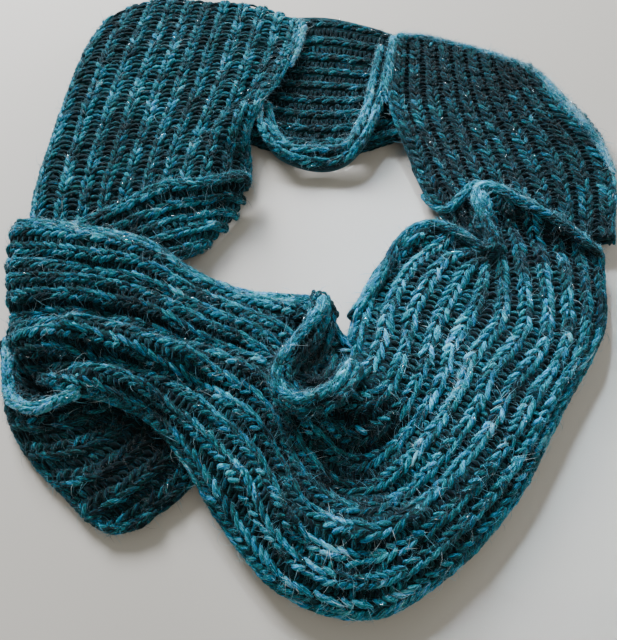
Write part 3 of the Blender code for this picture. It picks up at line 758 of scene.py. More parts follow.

# column: share of a rib that its knit column takes.  pitch: from stitch to stitch.  lean: how far
# a leg leans, in ribs.  chains: the edges with a selvedge chain.  tone and bars: how pale the
# stitches and the purl bars are.  The bars are set darker as painted shade in the grooves, and
# the right panel, the lobe and the pocket are set darker as painted shade: the panel turns from
# the light, the lobe lies under the sweep and the pocket is deep.  bar_wide: width of a bar.
Knit = namedtuple("Knit", "column pitch lean chains tone bars bar_wide")
KNIT = {
    "back_bridge": Knit(0.66, 7.6, 0.16, (), -0.13, -0.34, 3.6),
    "bridge_rim": Knit(0.80, 7.2, 0.24, ("last",), 0.04, 0.0, 3.6),
    "left_panel": Knit(0.60, 7.4, 0.27, ("first", "last"), -0.01, -0.10, 4.8),
    "left_under_fold": Knit(0.70, 7.6, 0.22, ("first", "last"), -0.02, -0.1, 4.4),
    "right_lower_layer": Knit(0.74, 7.2, 0.30, ("last",), -0.06, -0.1, 4.0),
    "right_panel": Knit(0.76, 7.4, 0.31, ("first", "last"), -0.27, -0.42, 4.0),
    "left_lobe": Knit(0.74, 7.6, 0.30, ("last",), -0.21, -0.22, 4.4),
    "front_sweep": Knit(0.74, 7.4, 0.31, ("first", "last"), 0.05, -0.12, 4.2),
    "pocket": Knit(0.72, 7.0, 0.26, (), -0.12, -0.12, 4.0),
}


class Skin:
    """The ribbed surface of a stretch on a fine even grid, to place stitches on."""

    def __init__(self, cloth):
        stretch = cloth.stretch
        self.ribs = stretch.ribs
        length, _ = spans(cloth)
        self.u = np.linspace(0, 1, max(int(length / 3), 12))
        self.v = np.linspace(0, 1, 12 * stretch.ribs + 1)
        plain = cloth.plain(self.u, self.v)
        plain_normal = outward(plain, self.u, self.v)
        self.points = plain + plain_normal * relief(self.v, self.ribs)[None, :, None]
        self.normals = outward(self.points, self.u, self.v)
        self.normals = unit(self.normals + plain_normal)

    def at(self, grid, u, v):
        """The grid's values at single points u, v, by straight mixing of the four round each."""
        a, b = np.clip(u, 0, 1) * (len(self.u) - 1), np.clip(v, 0, 1) * (len(self.v) - 1)
        i, j = np.minimum(a.astype(int), len(self.u) - 2), np.minimum(b.astype(int), len(self.v) - 2)
        f, g = (a - i)[:, None], (b - j)[:, None]
        return ((grid[i, j] * (1 - f) + grid[i + 1, j] * f) * (1 - g)
                + (grid[i, j + 1] * (1 - f) + grid[i + 1, j + 1] * f) * g)

    def measured(self, v):
        """Running length in mm along the line at v, at every u of the grid."""
        return running_length(self.at(self.points, self.u, np.full(len(self.u), v)))

    def period(self, u, v):
        """Local width of a rib, mm."""
        step = 0.5 / self.ribs
        a, b = np.clip(v - step, 0, 1), np.clip(v + step, 0, 1)
        across = self.at(self.points, u, b) - self.at(self.points, u, a)
        return np.linalg.norm(across, axis=1) / ((b - a) * self.ribs)


skins = {name: Skin(cloth) for name, cloth in cloths.items()}


# %% Shapes that are copied
Shape = namedtuple("Shape", "co faces")


def as_shape(bm):
    """A small mesh as an array of points and its faces' point numbers."""
    shape = Shape(np.array([vert.co for vert in bm.verts]),
                  [[vert.index for vert in face.verts] for face in bm.faces])
    bm.free()
    return shape


def leg_shape(round_steps, long_steps):
    """A leg along x from 0 to 1, blunt at both ends, 2 wide and 2 thick."""
    bm = bmesh.new()
    bmesh.ops.create_uvsphere(bm, u_segments=round_steps, v_segments=long_steps, radius=1.0)
    co, faces = as_shape(bm)
    ring = np.linalg.norm(co[:, :2], axis=1, keepdims=True)
    side = co[:, :2] / np.maximum(ring, 1e-6) * ring ** 0.75
    return Shape(np.column_stack(((co[:, 2] + 1) / 2, side)), [face[::-1] for face in faces])


def hair_shape(bends):
    """A tapered three-sided hair along x from 0 to 1, with a ring at each place it bends."""
    bm = bmesh.new()
    bmesh.ops.create_cone(bm, cap_ends=True, segments=3, radius1=1.0, radius2=0.0, depth=1.0)
    bmesh.ops.remove_doubles(bm, verts=bm.verts, dist=1e-5)
    for height in bends:
        bmesh.ops.bisect_plane(bm, geom=[*bm.verts, *bm.edges, *bm.faces], dist=1e-5,
                               plane_co=(0, 0, height - 0.5), plane_no=(0, 0, 1))
    bm.verts.index_update()
    co, faces = as_shape(bm)
    return Shape(np.column_stack((co[:, 2] + 0.5, co[:, :2])), [face[::-1] for face in faces])


def triangles(shape):
    """How many triangles a shape has."""
    return sum(len(face) - 2 for face in shape.faces)


LEG, BAR = leg_shape(6, 5), leg_shape(5, 4)
SHORT_HAIR, LONG_HAIR = hair_shape(()), hair_shape((0.33, 0.67))
print("triangles in a leg, a bar and the hairs:", *map(triangles, (LEG, BAR, SHORT_HAIR, LONG_HAIR)))


# %% Copies of a shape as one mesh
def join_copies(name, points, faces, grain, tones, finish):
    """One mesh from copies of a shape, given as an array of copies by points."""
    copies, size = points.shape[:2]
    loops = np.concatenate([np.array(face) for face in faces])
    totals = np.array([len(face) for face in faces])
    mesh = bpy.data.meshes.new(name)
    mesh.vertices.add(copies * size)
    mesh.vertices.foreach_set("co", (points.reshape(-1, 3) * MM).ravel())
    mesh.loops.add(copies * len(loops))
    mesh.loops.foreach_set("vertex_index", (loops[None] + np.arange(copies)[:, None] * size).ravel())
    mesh.polygons.add(copies * len(totals))
    starts = np.concatenate(((0,), totals.cumsum()[:-1]))
    mesh.polygons.foreach_set("loop_start", (starts[None] + np.arange(copies)[:, None] * len(loops)).ravel())
    mesh.update(calc_edges=True)
    set_attributes(mesh, grain.reshape(-1, 3), np.ascontiguousarray(tones).reshape(-1))
    return add_object(name, mesh, finish)


Legs = namedtuple("Legs", "start end up tone")


def joined(parts):
    """Several lots of legs as one."""
    return Legs(*(np.concatenate(columns) for columns in zip(*parts)))


def strands(name, legs, shape, wide, thick, arch, finish, bow=0.0):
    """Join copies of a leg into one mesh, each copy from a start to an end point.

    `arch` lifts the middle of each copy off the cloth, and `bow` bends it sideways, in mm.
    """
    start, end, up, tone = legs
    rng = np.random.default_rng(len(start) + sum(map(ord, name)))
    along = end - start
    length = np.linalg.norm(along, axis=1)
    x_axis = unit(along)
    y_axis = unit(np.cross(up, x_axis))
    z_axis = np.cross(x_axis, y_axis)
    x, y, z = shape.co.T
    size = rng.normal(1.0, SIZE_SPREAD, (len(start), 1)).clip(SIZE_LEAST, SIZE_MOST)
    lateral = y[None] * (wide / 2) * size + bow * np.sin(np.pi * x)[None]
    height = z[None] * (thick / 2) * size + arch * (np.sin(np.pi * x)[None] - 0.35)
    points = (start[:, None] + along[:, None] * x[None, :, None]
              + y_axis[:, None] * lateral[..., None] + z_axis[:, None] * height[..., None])
    points[..., 2] = np.maximum(points[..., 2], CLEAR)
    turn = np.arctan2(z, y)[None] + PLY_TURN * x[None] + rng.uniform(0, 6.28, (len(start), 1))
    radius = np.hypot(y, z)[None] * wide / 2
    place = rng.uniform(0, 400, (len(start), 1, 3))
    grain = np.stack((x[None] * length[:, None], np.cos(turn) * radius, np.sin(turn) * radius), -1) + place
    tones = np.broadcast_to(tone[:, None], points.shape[:2])
    return join_copies(name, points, shape.faces, grain, tones, finish)


# %% Where stitches go
# Painted shade and light: in a deep fold the yarn is set darker, as painted shade, and on a lit
# crest paler, as a painted highlight.  A shift below 0 is shade, above 0 a highlight.
PaintedShading = namedtuple("PaintedShading", "right away radius shift")
PAINTED_SHADING = (
    PaintedShading(-230, -60, 17, -0.36), PaintedShading(-150, -98, 26, -0.20),
    PaintedShading(-245, 6, 24, -0.16), PaintedShading(-195, 4, 26, -0.18), PaintedShading(-140, -14, 26, -0.16),
    PaintedShading(-80, -34, 24, -0.12), PaintedShading(12, -62, 15, -0.40),
    PaintedShading(-8, -122, 22, -0.16), PaintedShading(40, -150, 30, -0.22), PaintedShading(52, -118, 22, -0.18),
    PaintedShading(190, 84, 14, -0.34), PaintedShading(220, 66, 14, -0.22), PaintedShading(205, 34, 40, -0.20),
    PaintedShading(160, 284, 30, -0.12), PaintedShading(205, 272, 28, -0.12),
    PaintedShading(-75, 240, 20, -0.10), PaintedShading(-50, 170, 22, -0.16),
    PaintedShading(90, -128, 14, 0.12), PaintedShading(125, -30, 60, 0.08), PaintedShading(0, -216, 34, 0.08),
    PaintedShading(210, 52, 12, -0.22), PaintedShading(176, 92, 9, -0.20),
    PaintedShading(150, 30, 26, -0.14), PaintedShading(248, 18, 24, -0.14), PaintedShading(160, 86, 14, -0.16),
    PaintedShading(225, 135, 50, 0.10),
)
# Along its far edges the back light makes the nap glow, and this is painted in as paler yarn:
# painted rim light.  Points are (right, away).
PaintedRimLight = namedtuple("PaintedRimLight", "shift points")
PAINTED_RIM_LIGHTS = (
    PaintedRimLight(0.42, ((96, 335), (112, 340), (136, 336), (162, 328), (189, 320), (210, 309), (228, 299),
                   (246, 284), (262, 252), (277, 224), (295, 182), (301, 142))),
    PaintedRimLight(0.25, ((-95, 387), (-66, 382), (-38, 372), (-15, 362))),
)
RIM_LIGHT_REACH = 8.0      # how far from such an edge the painted rim light reaches, mm


def painted_rim_light(places):
    """How much paler the yarn is painted at each place, as rim light near a far edge."""
    paler = np.zeros(len(places))
    run = np.linspace(0, 1, 60)
    for shift, points in PAINTED_RIM_LIGHTS:
        line = points_at(points, np.linspace(0, 1, len(points)), run)
        apart = (places[:, None, :2] - CENTRE[:2]) - line[None]
        nearest = np.hypot(apart[..., 0], apart[..., 1]).min(1)
        paler += shift * np.exp(-(nearest / RIM_LIGHT_REACH) ** 2)
    return paler


BROAD, SMALL = 0.022, 0.07   # changes of tone to a mm, in the broad patches and the small ones
DEPTH = 0.2                  # how far the patches shift the tone


def yarn_tone(places, spread, shift, rng):
    """Slow changes of tone over the cloth, with a little chance from stitch to stitch, then painted shade,
    highlights and rim light.
    """
    slow = np.array([noise.noise(Vector(p) * BROAD) + 0.8 * noise.noise(Vector(p) * SMALL) for p in places])
    tone = slow * DEPTH + rng.normal(0, spread, len(places)) + shift
    for shading in PAINTED_SHADING:
        away = np.hypot(*(places[:, :2] - CENTRE[:2] - (shading.right, shading.away)).T) / shading.radius
        tone += shading.shift * np.exp(-away ** 2)
    return tone + painted_rim_light(places)


def legs_of(skin, knit):
    """Every leg of a stretch's knit columns: two to a stitch, leaning apart."""
    found = []
    rng = np.random.default_rng(skin.ribs * 101)
    for rib in range(skin.ribs):
        middle = (rib + 0.5) / skin.ribs
        run = skin.measured(middle)
        places = np.arange(0.5, run[-1] - 2.0, knit.pitch) + rng.uniform(-0.5, 0.5)
        places = np.clip(places + rng.normal(0, PITCH_SPREAD, len(places)), 0, run[-1])
        tip_u = np.interp(places + LEG_REACH * (1 - LEG_TUCK), run, skin.u)
        top_u = np.interp(places - LEG_REACH * LEG_TUCK, run, skin.u)
        for side in (-1, 1):
            lean = side * knit.lean / skin.ribs * (1 + rng.normal(0, LEAN_SPREAD, len(places)))
            foot = np.full(len(places), middle + side * FOOT_GAP / skin.ribs)
            start = skin.at(skin.points, tip_u, foot)
            end = skin.at(skin.points, top_u, middle + lean)
            up = unit(skin.at(skin.normals, (tip_u + top_u) / 2, middle + lean / 2))
            start += up * TIP_LIFT + rng.normal(0, LEG_SPREAD, start.shape)
            end += up * TOP_LIFT + rng.normal(0, LEG_SPREAD, end.shape)
            found.append(Legs(start, end, up, yarn_tone(start, 0.12, knit.tone, rng)))
    return joined(found)


def bars_of(skin, knit):
    """The short purl bars that cross the grooves between the knit columns."""
    found = []
    rng = np.random.default_rng(skin.ribs * 57)
    for groove in range(1, skin.ribs):
        middle = groove / skin.ribs
        run = skin.measured(middle)
        places = np.arange(2.5, run[-1] - 3.0, knit.bar_wide * BAR_SPACING) + rng.uniform(-0.5, 0.5)
        u = np.interp(places + rng.normal(0, BAR_SPREAD, len(places)), run, skin.u)
        reach = (1 - knit.column) / skin.ribs * 0.5
        v = np.full(len(u), middle)
        wide = skin.period(u, v) * (1 - knit.column) > NARROW_GROOVE
        u, v = u[wide], v[wide]
        start, end = skin.at(skin.points, u, v - reach), skin.at(skin.points, u, v + reach)
        up = unit(skin.at(skin.normals, u, v))
        out = unit(end - start) * BAR_PAST
        slant = rng.normal(0, BAR_SLANT, (len(u), 1)) * np.cross(unit(end - start), up)
        jitter = rng.normal(0, BAR_SPREAD, start.shape)
        tone = yarn_tone(start, 0.1, knit.bars, rng)
        found.append(Legs(start - out + up * BAR_LIFT + jitter + slant,
                          end + out + up * BAR_LIFT + jitter - slant, up, tone))
    return joined(found)


def chain_of(skin, side, tone):
    """The selvedge: overlapping legs along one edge of a stretch."""
    v = 0.012 if side == "first" else 0.988
    run = skin.measured(v)
    rng = np.random.default_rng(skin.ribs * 7)
    places = np.arange(0, run[-1] - 4, CHAIN_PITCH)
    u0, u1 = np.interp(places, run, skin.u), np.interp(places + CHAIN_LEG, run, skin.u)
    inward = 0.06 if side == "first" else -0.06
    start = skin.at(skin.points, u0, np.full(len(u0), v))
    end = skin.at(skin.points, u1, np.full(len(u1), v + inward / skin.ribs))
    up = unit(skin.at(skin.normals, (u0 + u1) / 2, np.full(len(u0), v)))
    return Legs(start + up * 1.3 + rng.normal(0, 0.3, start.shape), end + up * 0.6, up,
                yarn_tone(start, 0.1, tone + 0.08, rng))


SEEN_FROM = [UP] + [Vector((math.cos(a), math.sin(a), 1.0)).normalized()
                    for a in (0.0, math.pi / 2, math.pi, -math.pi / 2)]
LOOSE = 4.5           # a leg whose middle is further than this from its own cloth is left out


def uncovered(name, legs):
    """Only the legs that lie on the cloth and can be seen from above or a side."""
    others = [tree for other, tree in trees.items() if other != name]
    own = ground_trees[name]
    middles = (legs.start + legs.end) / 2 * MM
    places = middles + legs.up * 3 * MM
    seen = [own.find_nearest(Vector(middle))[3] < LOOSE * MM
            and any(all(tree.ray_cast(Vector(place), way)[0] is None for tree in others) for way in SEEN_FROM)
            for middle, place in zip(middles, places)]
    return Legs(*(column[np.array(seen, bool)] for column in legs))


# %% [markdown]
# ## Rolled edges
#
# The cloth's bound edges roll over on themselves and stand proud, so they catch the light as
# a chain of fat loops.  Each roll is a short row of guide points.  A curve with a round bevel
# gives its core, and legs wind over it in two leaning rows, with one more row down each side.

# %% Rolls
Roll = namedtuple("Roll", "name cloth radius tone edge points")
ROLLS = (
    # tone: how pale a roll's yarn is.  The turned roll is set paler as a painted highlight, and the lobe's
    # roll darker as painted shade under the sweep.
    # An edge is (stretch, side, from, to), and guide points (right, away, up) carry on from it.
    Roll("top_roll", "front_sweep", 2.7, 0.12, ("front_sweep", "first", 0.03, 0.49), (
        (12, -3, 45), (12, -11, 50), (8, -23, 52), (-3, -36, 51), (-15, -52, 52), (-23, -65, 52),
        (-25, -78, 52), (-20, -91, 53), (-9, -98, 54), (5, -96, 54), (17, -89, 52), (27, -78, 50),
        (33, -66, 47), (36, -57, 42))),
    Roll("ruffle_roll", "front_sweep", 2.9, -0.03, (), (
        (36, -12, 24), (47, 2, 27), (59, 17, 30), (70, 36, 32), (78, 55, 34.5), (92, 71, 37),
        (109, 76, 42), (124, 69, 47), (140, 61, 44), (151, 51, 43), (160, 48, 41), (167, 54, 42),
        (164, 64, 46), (159, 80, 46), (155, 97, 46), (156, 113, 44), (163, 117, 48), (171, 110, 51),
        (183, 101, 52), (198, 93, 49), (212, 86, 47), (228, 73, 45), (244, 61, 41), (255, 53, 37),
        (263, 47, 31))),
    Roll("turn_roll", "front_sweep", 3.4, 0.24, (), (
        (-262, -24, 14), (-260, -42, 12), (-256, -59, 14), (-250, -75, 18), (-239, -90, 29), (-221, -98, 32),
        (-204, -92, 33), (-190, -87, 37), (-176, -84, 42))),
    Roll("lobe_roll", "left_lobe", 2.5, -0.20, (), (
        (-257, -60, 10), (-252, -81, 9.5), (-245, -98, 8.5), (-236, -113, 7.5), (-225, -127, 7),
        (-211, -141, 7), (-196, -154, 7), (-181, -167, 7), (-168, -178, 7.5), (-158, -184, 8),
        (-149, -187, 8.5), (-138, -185, 9), (-127, -180, 10), (-117, -174, 12))),
    Roll("hem_roll", "right_panel", 2.6, 0.0, (), (
        (113, 135, 10), (120, 124, 11), (126, 112, 16), (133, 106, 24), (140, 110, 29), (149, 119, 32),
        (157, 126, 36), (163, 119, 44))),
    Roll("left_panel_roll", "left_panel", 2.3, 0.38, ("left_panel", "last", 0.06, 0.44), ()),
    Roll("right_panel_roll", "right_panel", 2.2, 0.04, ("right_panel", "first", 0.06, 0.42), ()),
    Roll("right_top_roll", "right_panel", 1.0, -0.12, (), (
        (97, 329, 36), (105, 335, 31.5), (116, 337, 29), (126, 336, 29), (136, 333, 29), (150, 329.5, 28),
        (166, 325, 27), (180, 321, 26), (192, 315, 27), (205, 308, 27.5), (219, 302.5, 26.5),
        (232, 295, 26), (242, 286.5, 26), (250, 276, 26.5), (258, 259.5, 27), (267, 240.5, 27.5),
        (276, 221.5, 28), (285, 199.5, 28), (292, 177.5, 27.5), (296.5, 158, 26.5), (298, 142, 25))),
)


def edge_points(stretch, side, first, last, count=16):
    """Points along part of one edge of a stretch, on the table, as a roll's guide points."""
    t, level = np.linspace(first, last, count), {"first": 0.0, "last": 1.0, "start": 0.055, "end": 1.0}[side]
    near_edge = np.array((level, abs(level - 0.004)))
    cloth = cloths[stretch]
    grid = cloth.plain(near_edge, t)[0] if side in ("start", "end") else cloth.plain(t, near_edge)[:, 0]
    return grid - CENTRE


def guide_points(roll):
    """A roll's guide points: those along its edge, then its own."""
    edge = [edge_points(*roll.edge)] if roll.edge else []
    return np.concatenate(edge + ([np.array(roll.points, float)] if roll.points else []))


def measured_path(points, step):
    """Points of the smooth curve through guide points, evenly spaced, in the model's mm."""
    fine = spline(points, np.linspace(0, 1, 400)) + CENTRE
    run = running_length(fine)
    return points_at(fine, run, np.linspace(0, run[-1], max(int(run[-1] / step), 4)))


def roll_frames(path):
    """Direction along, to the side and up, at every point of a path."""
    along = unit(np.gradient(path, axis=0))
    side = unit(np.cross(along, (0.0, 0.0, 1.0)))
    return along, side, np.cross(side, along)


def roll_core(roll):
    """The round core under a roll's stitches."""
    path = measured_path(guide_points(roll), 4.0) * MM
    curve = bpy.data.curves.new(roll.name, "CURVE")
    curve.dimensions = "3D"
    curve.bevel_depth = roll.radius * MM
    curve.bevel_resolution = 2
    curve.use_fill_caps = True
    line = curve.splines.new("POLY")
    line.points.add(len(path) - 1)
    line.points.foreach_set("co", np.column_stack((path, np.ones(len(path)))).ravel())
    drawn = bpy.data.objects.new(roll.name + "_line", curve)
    bm = bmesh.new()
    bm.from_mesh(drawn.to_mesh())
    bmesh.ops.remove_doubles(bm, verts=bm.verts, dist=1e-5)
    bmesh.ops.recalc_face_normals(bm, faces=bm.faces)
    drawn.to_mesh_clear()
    bpy.data.objects.remove(drawn)
    bpy.data.curves.remove(curve)
    return add_plain(roll.name + "_core", bm)


ROLL_PITCH, ROLL_LEG = 6, 12   # from loop to loop along a roll, and a leg's reach, mm
ROLL_ROWS = ((0.1, 0.95), (-0.1, -0.95), (0.95, 1.75), (-0.95, -1.75))   # angles of a leg's two ends


def roll_legs(roll):
    """Legs in two leaning rows over a roll, with a row more down each side."""
    rng = np.random.default_rng(len(roll.name))
    fine = measured_path(guide_points(roll), 1.0)
    along, side, up = roll_frames(fine)
    first = np.arange(0, len(fine) - ROLL_LEG - 1, ROLL_PITCH)
    found = []
    for lean, turned in ROLL_ROWS:
        ends = []
        for places, angle in ((first + ROLL_LEG, lean), (first, turned)):
            out = side[places] * math.sin(angle) + up[places] * math.cos(angle)
            ends.append(fine[places] + out * (roll.radius + 0.6) + rng.normal(0, 0.3, out.shape))
        out = side[first] * math.sin((lean + turned) / 2) + up[first] * math.cos((lean + turned) / 2)
        found.append(Legs(ends[0], ends[1], out, yarn_tone(ends[0], 0.12, roll.tone, rng)))
    return joined(found)


rolls = {roll.name: (roll_core(roll), roll_legs(roll)) for roll in ROLLS}
for name, (core, legs) in rolls.items():
    print(name, len(core.data.polygons), "faces,", len(legs.start), "legs")

# %% Lay the stitches
laid, stitches, ladders = {}, {}, {}
for name, skin in skins.items():
    knit = KNIT[name]
    lots = [legs_of(skin, knit)] + [chain_of(skin, side, knit.tone) for side in knit.chains]
    laid[name] = uncovered(name, joined(lots))
    stitches[name] = strands(name + "_stitches", laid[name], LEG, LEG_WIDE, LEG_THICK, 1.1, stitch_yarn)
    bars = uncovered(name, bars_of(skin, knit))
    if len(bars.start):
        ladders[name] = strands(name + "_ladders", bars, BAR, knit.bar_wide, BAR_THICK, 0.6, shaded_yarn,
                                bow=1.2)
    print(name, len(laid[name].start), "legs,", len(bars.start), "bars")
for name, (core, legs) in rolls.items():
    laid[name] = legs
    stitches[name] = strands(name + "_stitches", legs, BAR, LEG_WIDE, LEG_THICK, 0.8, stitch_yarn)

# %% [markdown]
# ## Mohair halo
#
# Mohair is spun with long loose fibres that stand off the yarn.  Most cling to the stitches and
# blur them, and a few arc well clear.  Each hair is a tapered three-sided sliver: the short ones
# are straight, and the long ones have two bends.
# Silver filament shows here and there as short bright slivers among them.

# %% Hairs
HAIR_WIDE = 0.30      # a few fibres together, mm
HAIR_TOP = 63.5       # no hair stands higher than this
HAIR_ROOTS = 1.6      # how far to either side of a leg's middle its hairs start
HAIR_BEND = 0.22      # spread of how far a hair curves sideways, as a share of its length
HAIR_TONES = 0.17     # spread of how pale the hairs of a leg are
ROLL_SHARE = 0.5      # hairs on a roll's legs, next to those on a stretch's
FUZZIEST = {"right_top_roll": 2.6}   # but this thin one is nearly all nap

# Lengths and rises are in mm.  wander: how far a hair strays from its leg, in radians.
# shift: how much paler a hair is than its leg, a painted glow of back light through the fibres. A hair's tone
# also follows its leg's, painted shade and rim light included.
Hair = namedtuple("Hair", "kind shape per_leg lengths rise wander shift")
HAIRS = (
    Hair("halo", SHORT_HAIR, 13.0, (2.5, 7.5), (0.2, 1.5), 1.2, 0.48),
    Hair("long_hair", LONG_HAIR, 0.6, (8, 18), (1.2, 3.6), 1.4, 0.62),
)


def grow(legs, hair, share, rng):
    """Points and tones of hairs that start on the legs."""
    picked = rng.integers(0, len(legs.start), int(len(legs.start) * (hair.per_leg * share)))
    start, end, up = legs.start[picked], legs.end[picked], legs.up[picked]
    along, out = unit(end - start), unit(up)
    side = np.cross(out, along)
    count = len(picked)
    root = (start + (end - start) * rng.uniform(0.1, 0.9, (count, 1)) + out * LEG_THICK * 0.35
            + side * rng.uniform(-HAIR_ROOTS, HAIR_ROOTS, (count, 1)))
    angle = rng.normal(0, hair.wander, (count, 1)) + np.pi * rng.integers(0, 2, (count, 1))
    way = along * np.cos(angle) + side * np.sin(angle)
    bend = np.cross(out, way) * rng.normal(0, HAIR_BEND, (count, 1))
    length = rng.uniform(*hair.lengths, (count, 1))
    high = rng.uniform(*hair.rise, (count, 1)) * 4
    x, y, z = hair.shape.co.T
    t = x[None, :, None]
    centre = (root[:, None] + way[:, None] * length[:, None] * t
              + bend[:, None] * length[:, None] * t ** 2 + out[:, None] * high[:, None] * t * (1.25 - t))
    thick = rng.uniform(0.6, 1.3, (count, 1, 1)) * HAIR_WIDE / 2
    cross = np.cross(way, out)
    points = centre + (cross[:, None] * y[None, :, None] + out[:, None] * z[None, :, None]) * thick
    points[..., 2] = np.clip(points[..., 2], CLEAR, HAIR_TOP)
    tone = np.clip(legs.tone[picked] * 1.3 + rng.normal(hair.shift, HAIR_TONES, count), 0, 1)
    return points, np.broadcast_to(tone[:, None], points.shape[:2])


fuzz = {}
for name, legs in laid.items():
    rng = np.random.default_rng(sum(map(ord, name)) + 5)
    share = FUZZIEST.get(name, ROLL_SHARE if name in rolls else 1.0)
    fuzz[name] = []
    for hair in HAIRS:
        points, tones = grow(legs, hair, share, rng)
        fuzz[name].append(join_copies(f"{name}_{hair.kind}", points, hair.shape.faces, points, tones, halo))
print(sum(len(thing[0].data.polygons) for thing in fuzz.values()) // len(SHORT_HAIR.faces), "short hairs")

# %% Silver slivers
SLIVERS = 260
SLIVER_HALF = (1.0, 2.6)   # half a sliver's length, mm
rng = np.random.default_rng(9)
whole = joined([laid[name] for name in sorted(laid)])
picked = rng.choice(len(whole.start), SLIVERS, replace=False)
middle = (whole.start[picked] + whole.end[picked]) / 2 + whole.up[picked] * (LEG_THICK / 2 + 0.9)
lean = unit(whole.end[picked] - whole.start[picked] + rng.normal(0, 5.0, middle.shape))
reach = rng.uniform(*SLIVER_HALF, (SLIVERS, 1))
slivers = Legs(middle - lean * reach, middle + lean * reach, whole.up[picked], np.ones(SLIVERS))
strands("silver_slivers", slivers, BAR, 0.7, 0.5, 0.3, glint)
print(SLIVERS, "slivers")

# %% [markdown]
# ## The layers folded away
#
# Only the top of the heap shows.  The rest of the loop is doubled back under it in flat folds,
# and from a low angle their edges show as a stack of soft lips.  Each heap is one rounded body:
# a grid is raised to just under the cloth that covers it, then extruded down in small steps that
# swell at each layer and draw in between, with two rows of stitches round each of its lips.

# %% Tables of the folded layers
# Each line crosses the ring, from an inner point to an outer one: right, away, in mm.
HIDDEN_LINES = {
    "hidden_layers_left": (
        ((-108, 386), (-205, 378)), ((-104, 345), (-232, 345)), ((-104, 285), (-242, 285)),
        ((-104, 228), (-248, 225)), ((-82, 186), (-252, 178)), ((-76, 150), (-254, 132)),
        ((-94, 112), (-254, 86)), ((-122, 72), (-262, 42)), ((-128, 36), (-260, 0)),
        ((-104, 12), (-250, -44)),
    ),
    "hidden_layers_front": (
        ((-88, 8), (-204, -38)), ((-64, -2), (-166, -56)), ((-46, -6), (-130, -72)),
        ((-32, -10), (-84, -104)), ((-14, -14), (-62, -160)), ((4, -30), (-16, -216)),
        ((26, -44), (46, -234)), ((44, -44), (108, -204)), ((46, -22), (158, -158)),
        ((50, 2), (196, -96)), ((68, 30), (240, -22)), ((98, 52), (263, 42)),
    ),
    "hidden_layers_right": (
        ((138, 62), (262, 54)), ((138, 104), (260, 98)), ((120, 140), (254, 140)),
        ((106, 180), (254, 180)), ((124, 212), (251, 212)), ((138, 250), (236, 250)),
        ((138, 286), (220, 282)), ((140, 312), (212, 298)),
    ),
    "hidden_layers_back": (
        ((-94, 216), (-96, 398)), ((-60, 206), (-60, 400)), ((-20, 192), (-20, 399)),
        ((20, 188), (20, 399)), ((55, 196), (58, 388)), ((90, 210), (97, 369)),
        ((116, 216), (124, 326)),
    ),
}
HIDDEN_ACROSS, HIDDEN_STEPS = 12, 3     # columns, and rows between two lines
HIDDEN_REST = 0.8     # room left under the cloth that covers them
HIDDEN_LIP = 5.5      # height of the lowest layer where nothing lies over it
FOLD = 8.5            # thickness of one folded layer
TUCK = 2.2            # how far the crease between two layers is drawn in
SWELL = ((1.0, 1.0), (0.85, 0.45), (0.6, 0.08), (0.35, 0.08), (0.12, 0.45))   # height, inset of a lip
LIP_LAYERS = 3        # how many layers, from the lowest, carry stitches on their lips
LIP_PITCH, LIP_LEG = 7.0, 11.0   # from stitch to stitch round a lip, and a leg's reach, mm


# %% Build the folded layers
def plan(lines, u, v):
    """Places on the table inside a heap's lines, as a grid."""
    inner = spline([line[0] for line in lines], u)[:, None]
    outer = spline([line[1] for line in lines], u)[:, None]
    return inner + (outer - inner) * v[None, :, None] + np.array(CENTRE[:2])


def heap_height(places):
    """How high a heap reaches under its cover, at each place of a grid."""
    found = np.full(places.shape[:2], np.inf)
    for i, j in np.ndindex(found.shape):
        start = Vector((places[i, j, 0] * MM, places[i, j, 1] * MM, -0.01))
        hits = [tree.ray_cast(start, UP)[0] for tree in ground_trees.values()]
        found[i, j] = min((hit.z / MM for hit in hits if hit), default=np.inf)
    lowest = near(found).min(0) - HIDDEN_REST
    height = np.where(np.isinf(lowest), HIDDEN_LIP, lowest)
    return np.maximum(np.where(np.isinf(found), np.minimum(height, HIDDEN_LIP), height), 1.0)


def heap(name, lines):
    """A heap of folded layers, with the legs of the stitches round its lips."""
    u = np.linspace(0, 1, HIDDEN_STEPS * (len(lines) - 1) + 1)
    v = np.linspace(0, 1, HIDDEN_ACROSS + 1)
    height = heap_height(plan(lines, u, v))
    length = np.linalg.norm(np.diff(plan(lines, u, np.array((0.5,)))[:, 0], axis=0), axis=1).sum()
    across = plan(lines, u, v)[len(u) // 2]
    width = np.linalg.norm(across[-1] - across[0])

    def drawn_in(inset):
        """The heap's outline, drawn in by some millimetres."""
        return plan(lines, np.clip(u, inset / length, 1 - inset / length),
                    np.clip(v, inset / width, 1 - inset / width))

    layers = math.ceil(height.max() / FOLD)
    levels = [((layer + part) * FOLD, inset * TUCK)
              for layer in reversed(range(layers)) for part, inset in SWELL]
    levels.append((0.0, TUCK))
    bm, order = numbered_grid(len(v), len(u))
    top = np.dstack((drawn_in(TUCK), height)).reshape(-1, 3) * MM
    for vert in bm.verts:
        vert.co = top[vert[order]]
    lowest = list(bm.faces)
    for step, (level, inset) in enumerate(levels):
        made = bmesh.ops.extrude_face_region(bm, geom=lowest)["geom"]
        lowest = [part for part in made if isinstance(part, bmesh.types.BMFace)]
        room = height - 0.02 * (step + 1)
        inside = np.where((level < room)[..., None], drawn_in(inset), drawn_in(TUCK))
        ring = np.dstack((inside, np.maximum(np.minimum(level, room), 0.0))).reshape(-1, 3) * MM
        for vert in (part for part in made if isinstance(part, bmesh.types.BMVert)):
            vert.co = ring[vert[order]]
    close_body(bm, order)
    thing = add_plain(name + "_folds", bm)
    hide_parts(name)
    return thing, lip_legs(drawn_in(0.0), height)


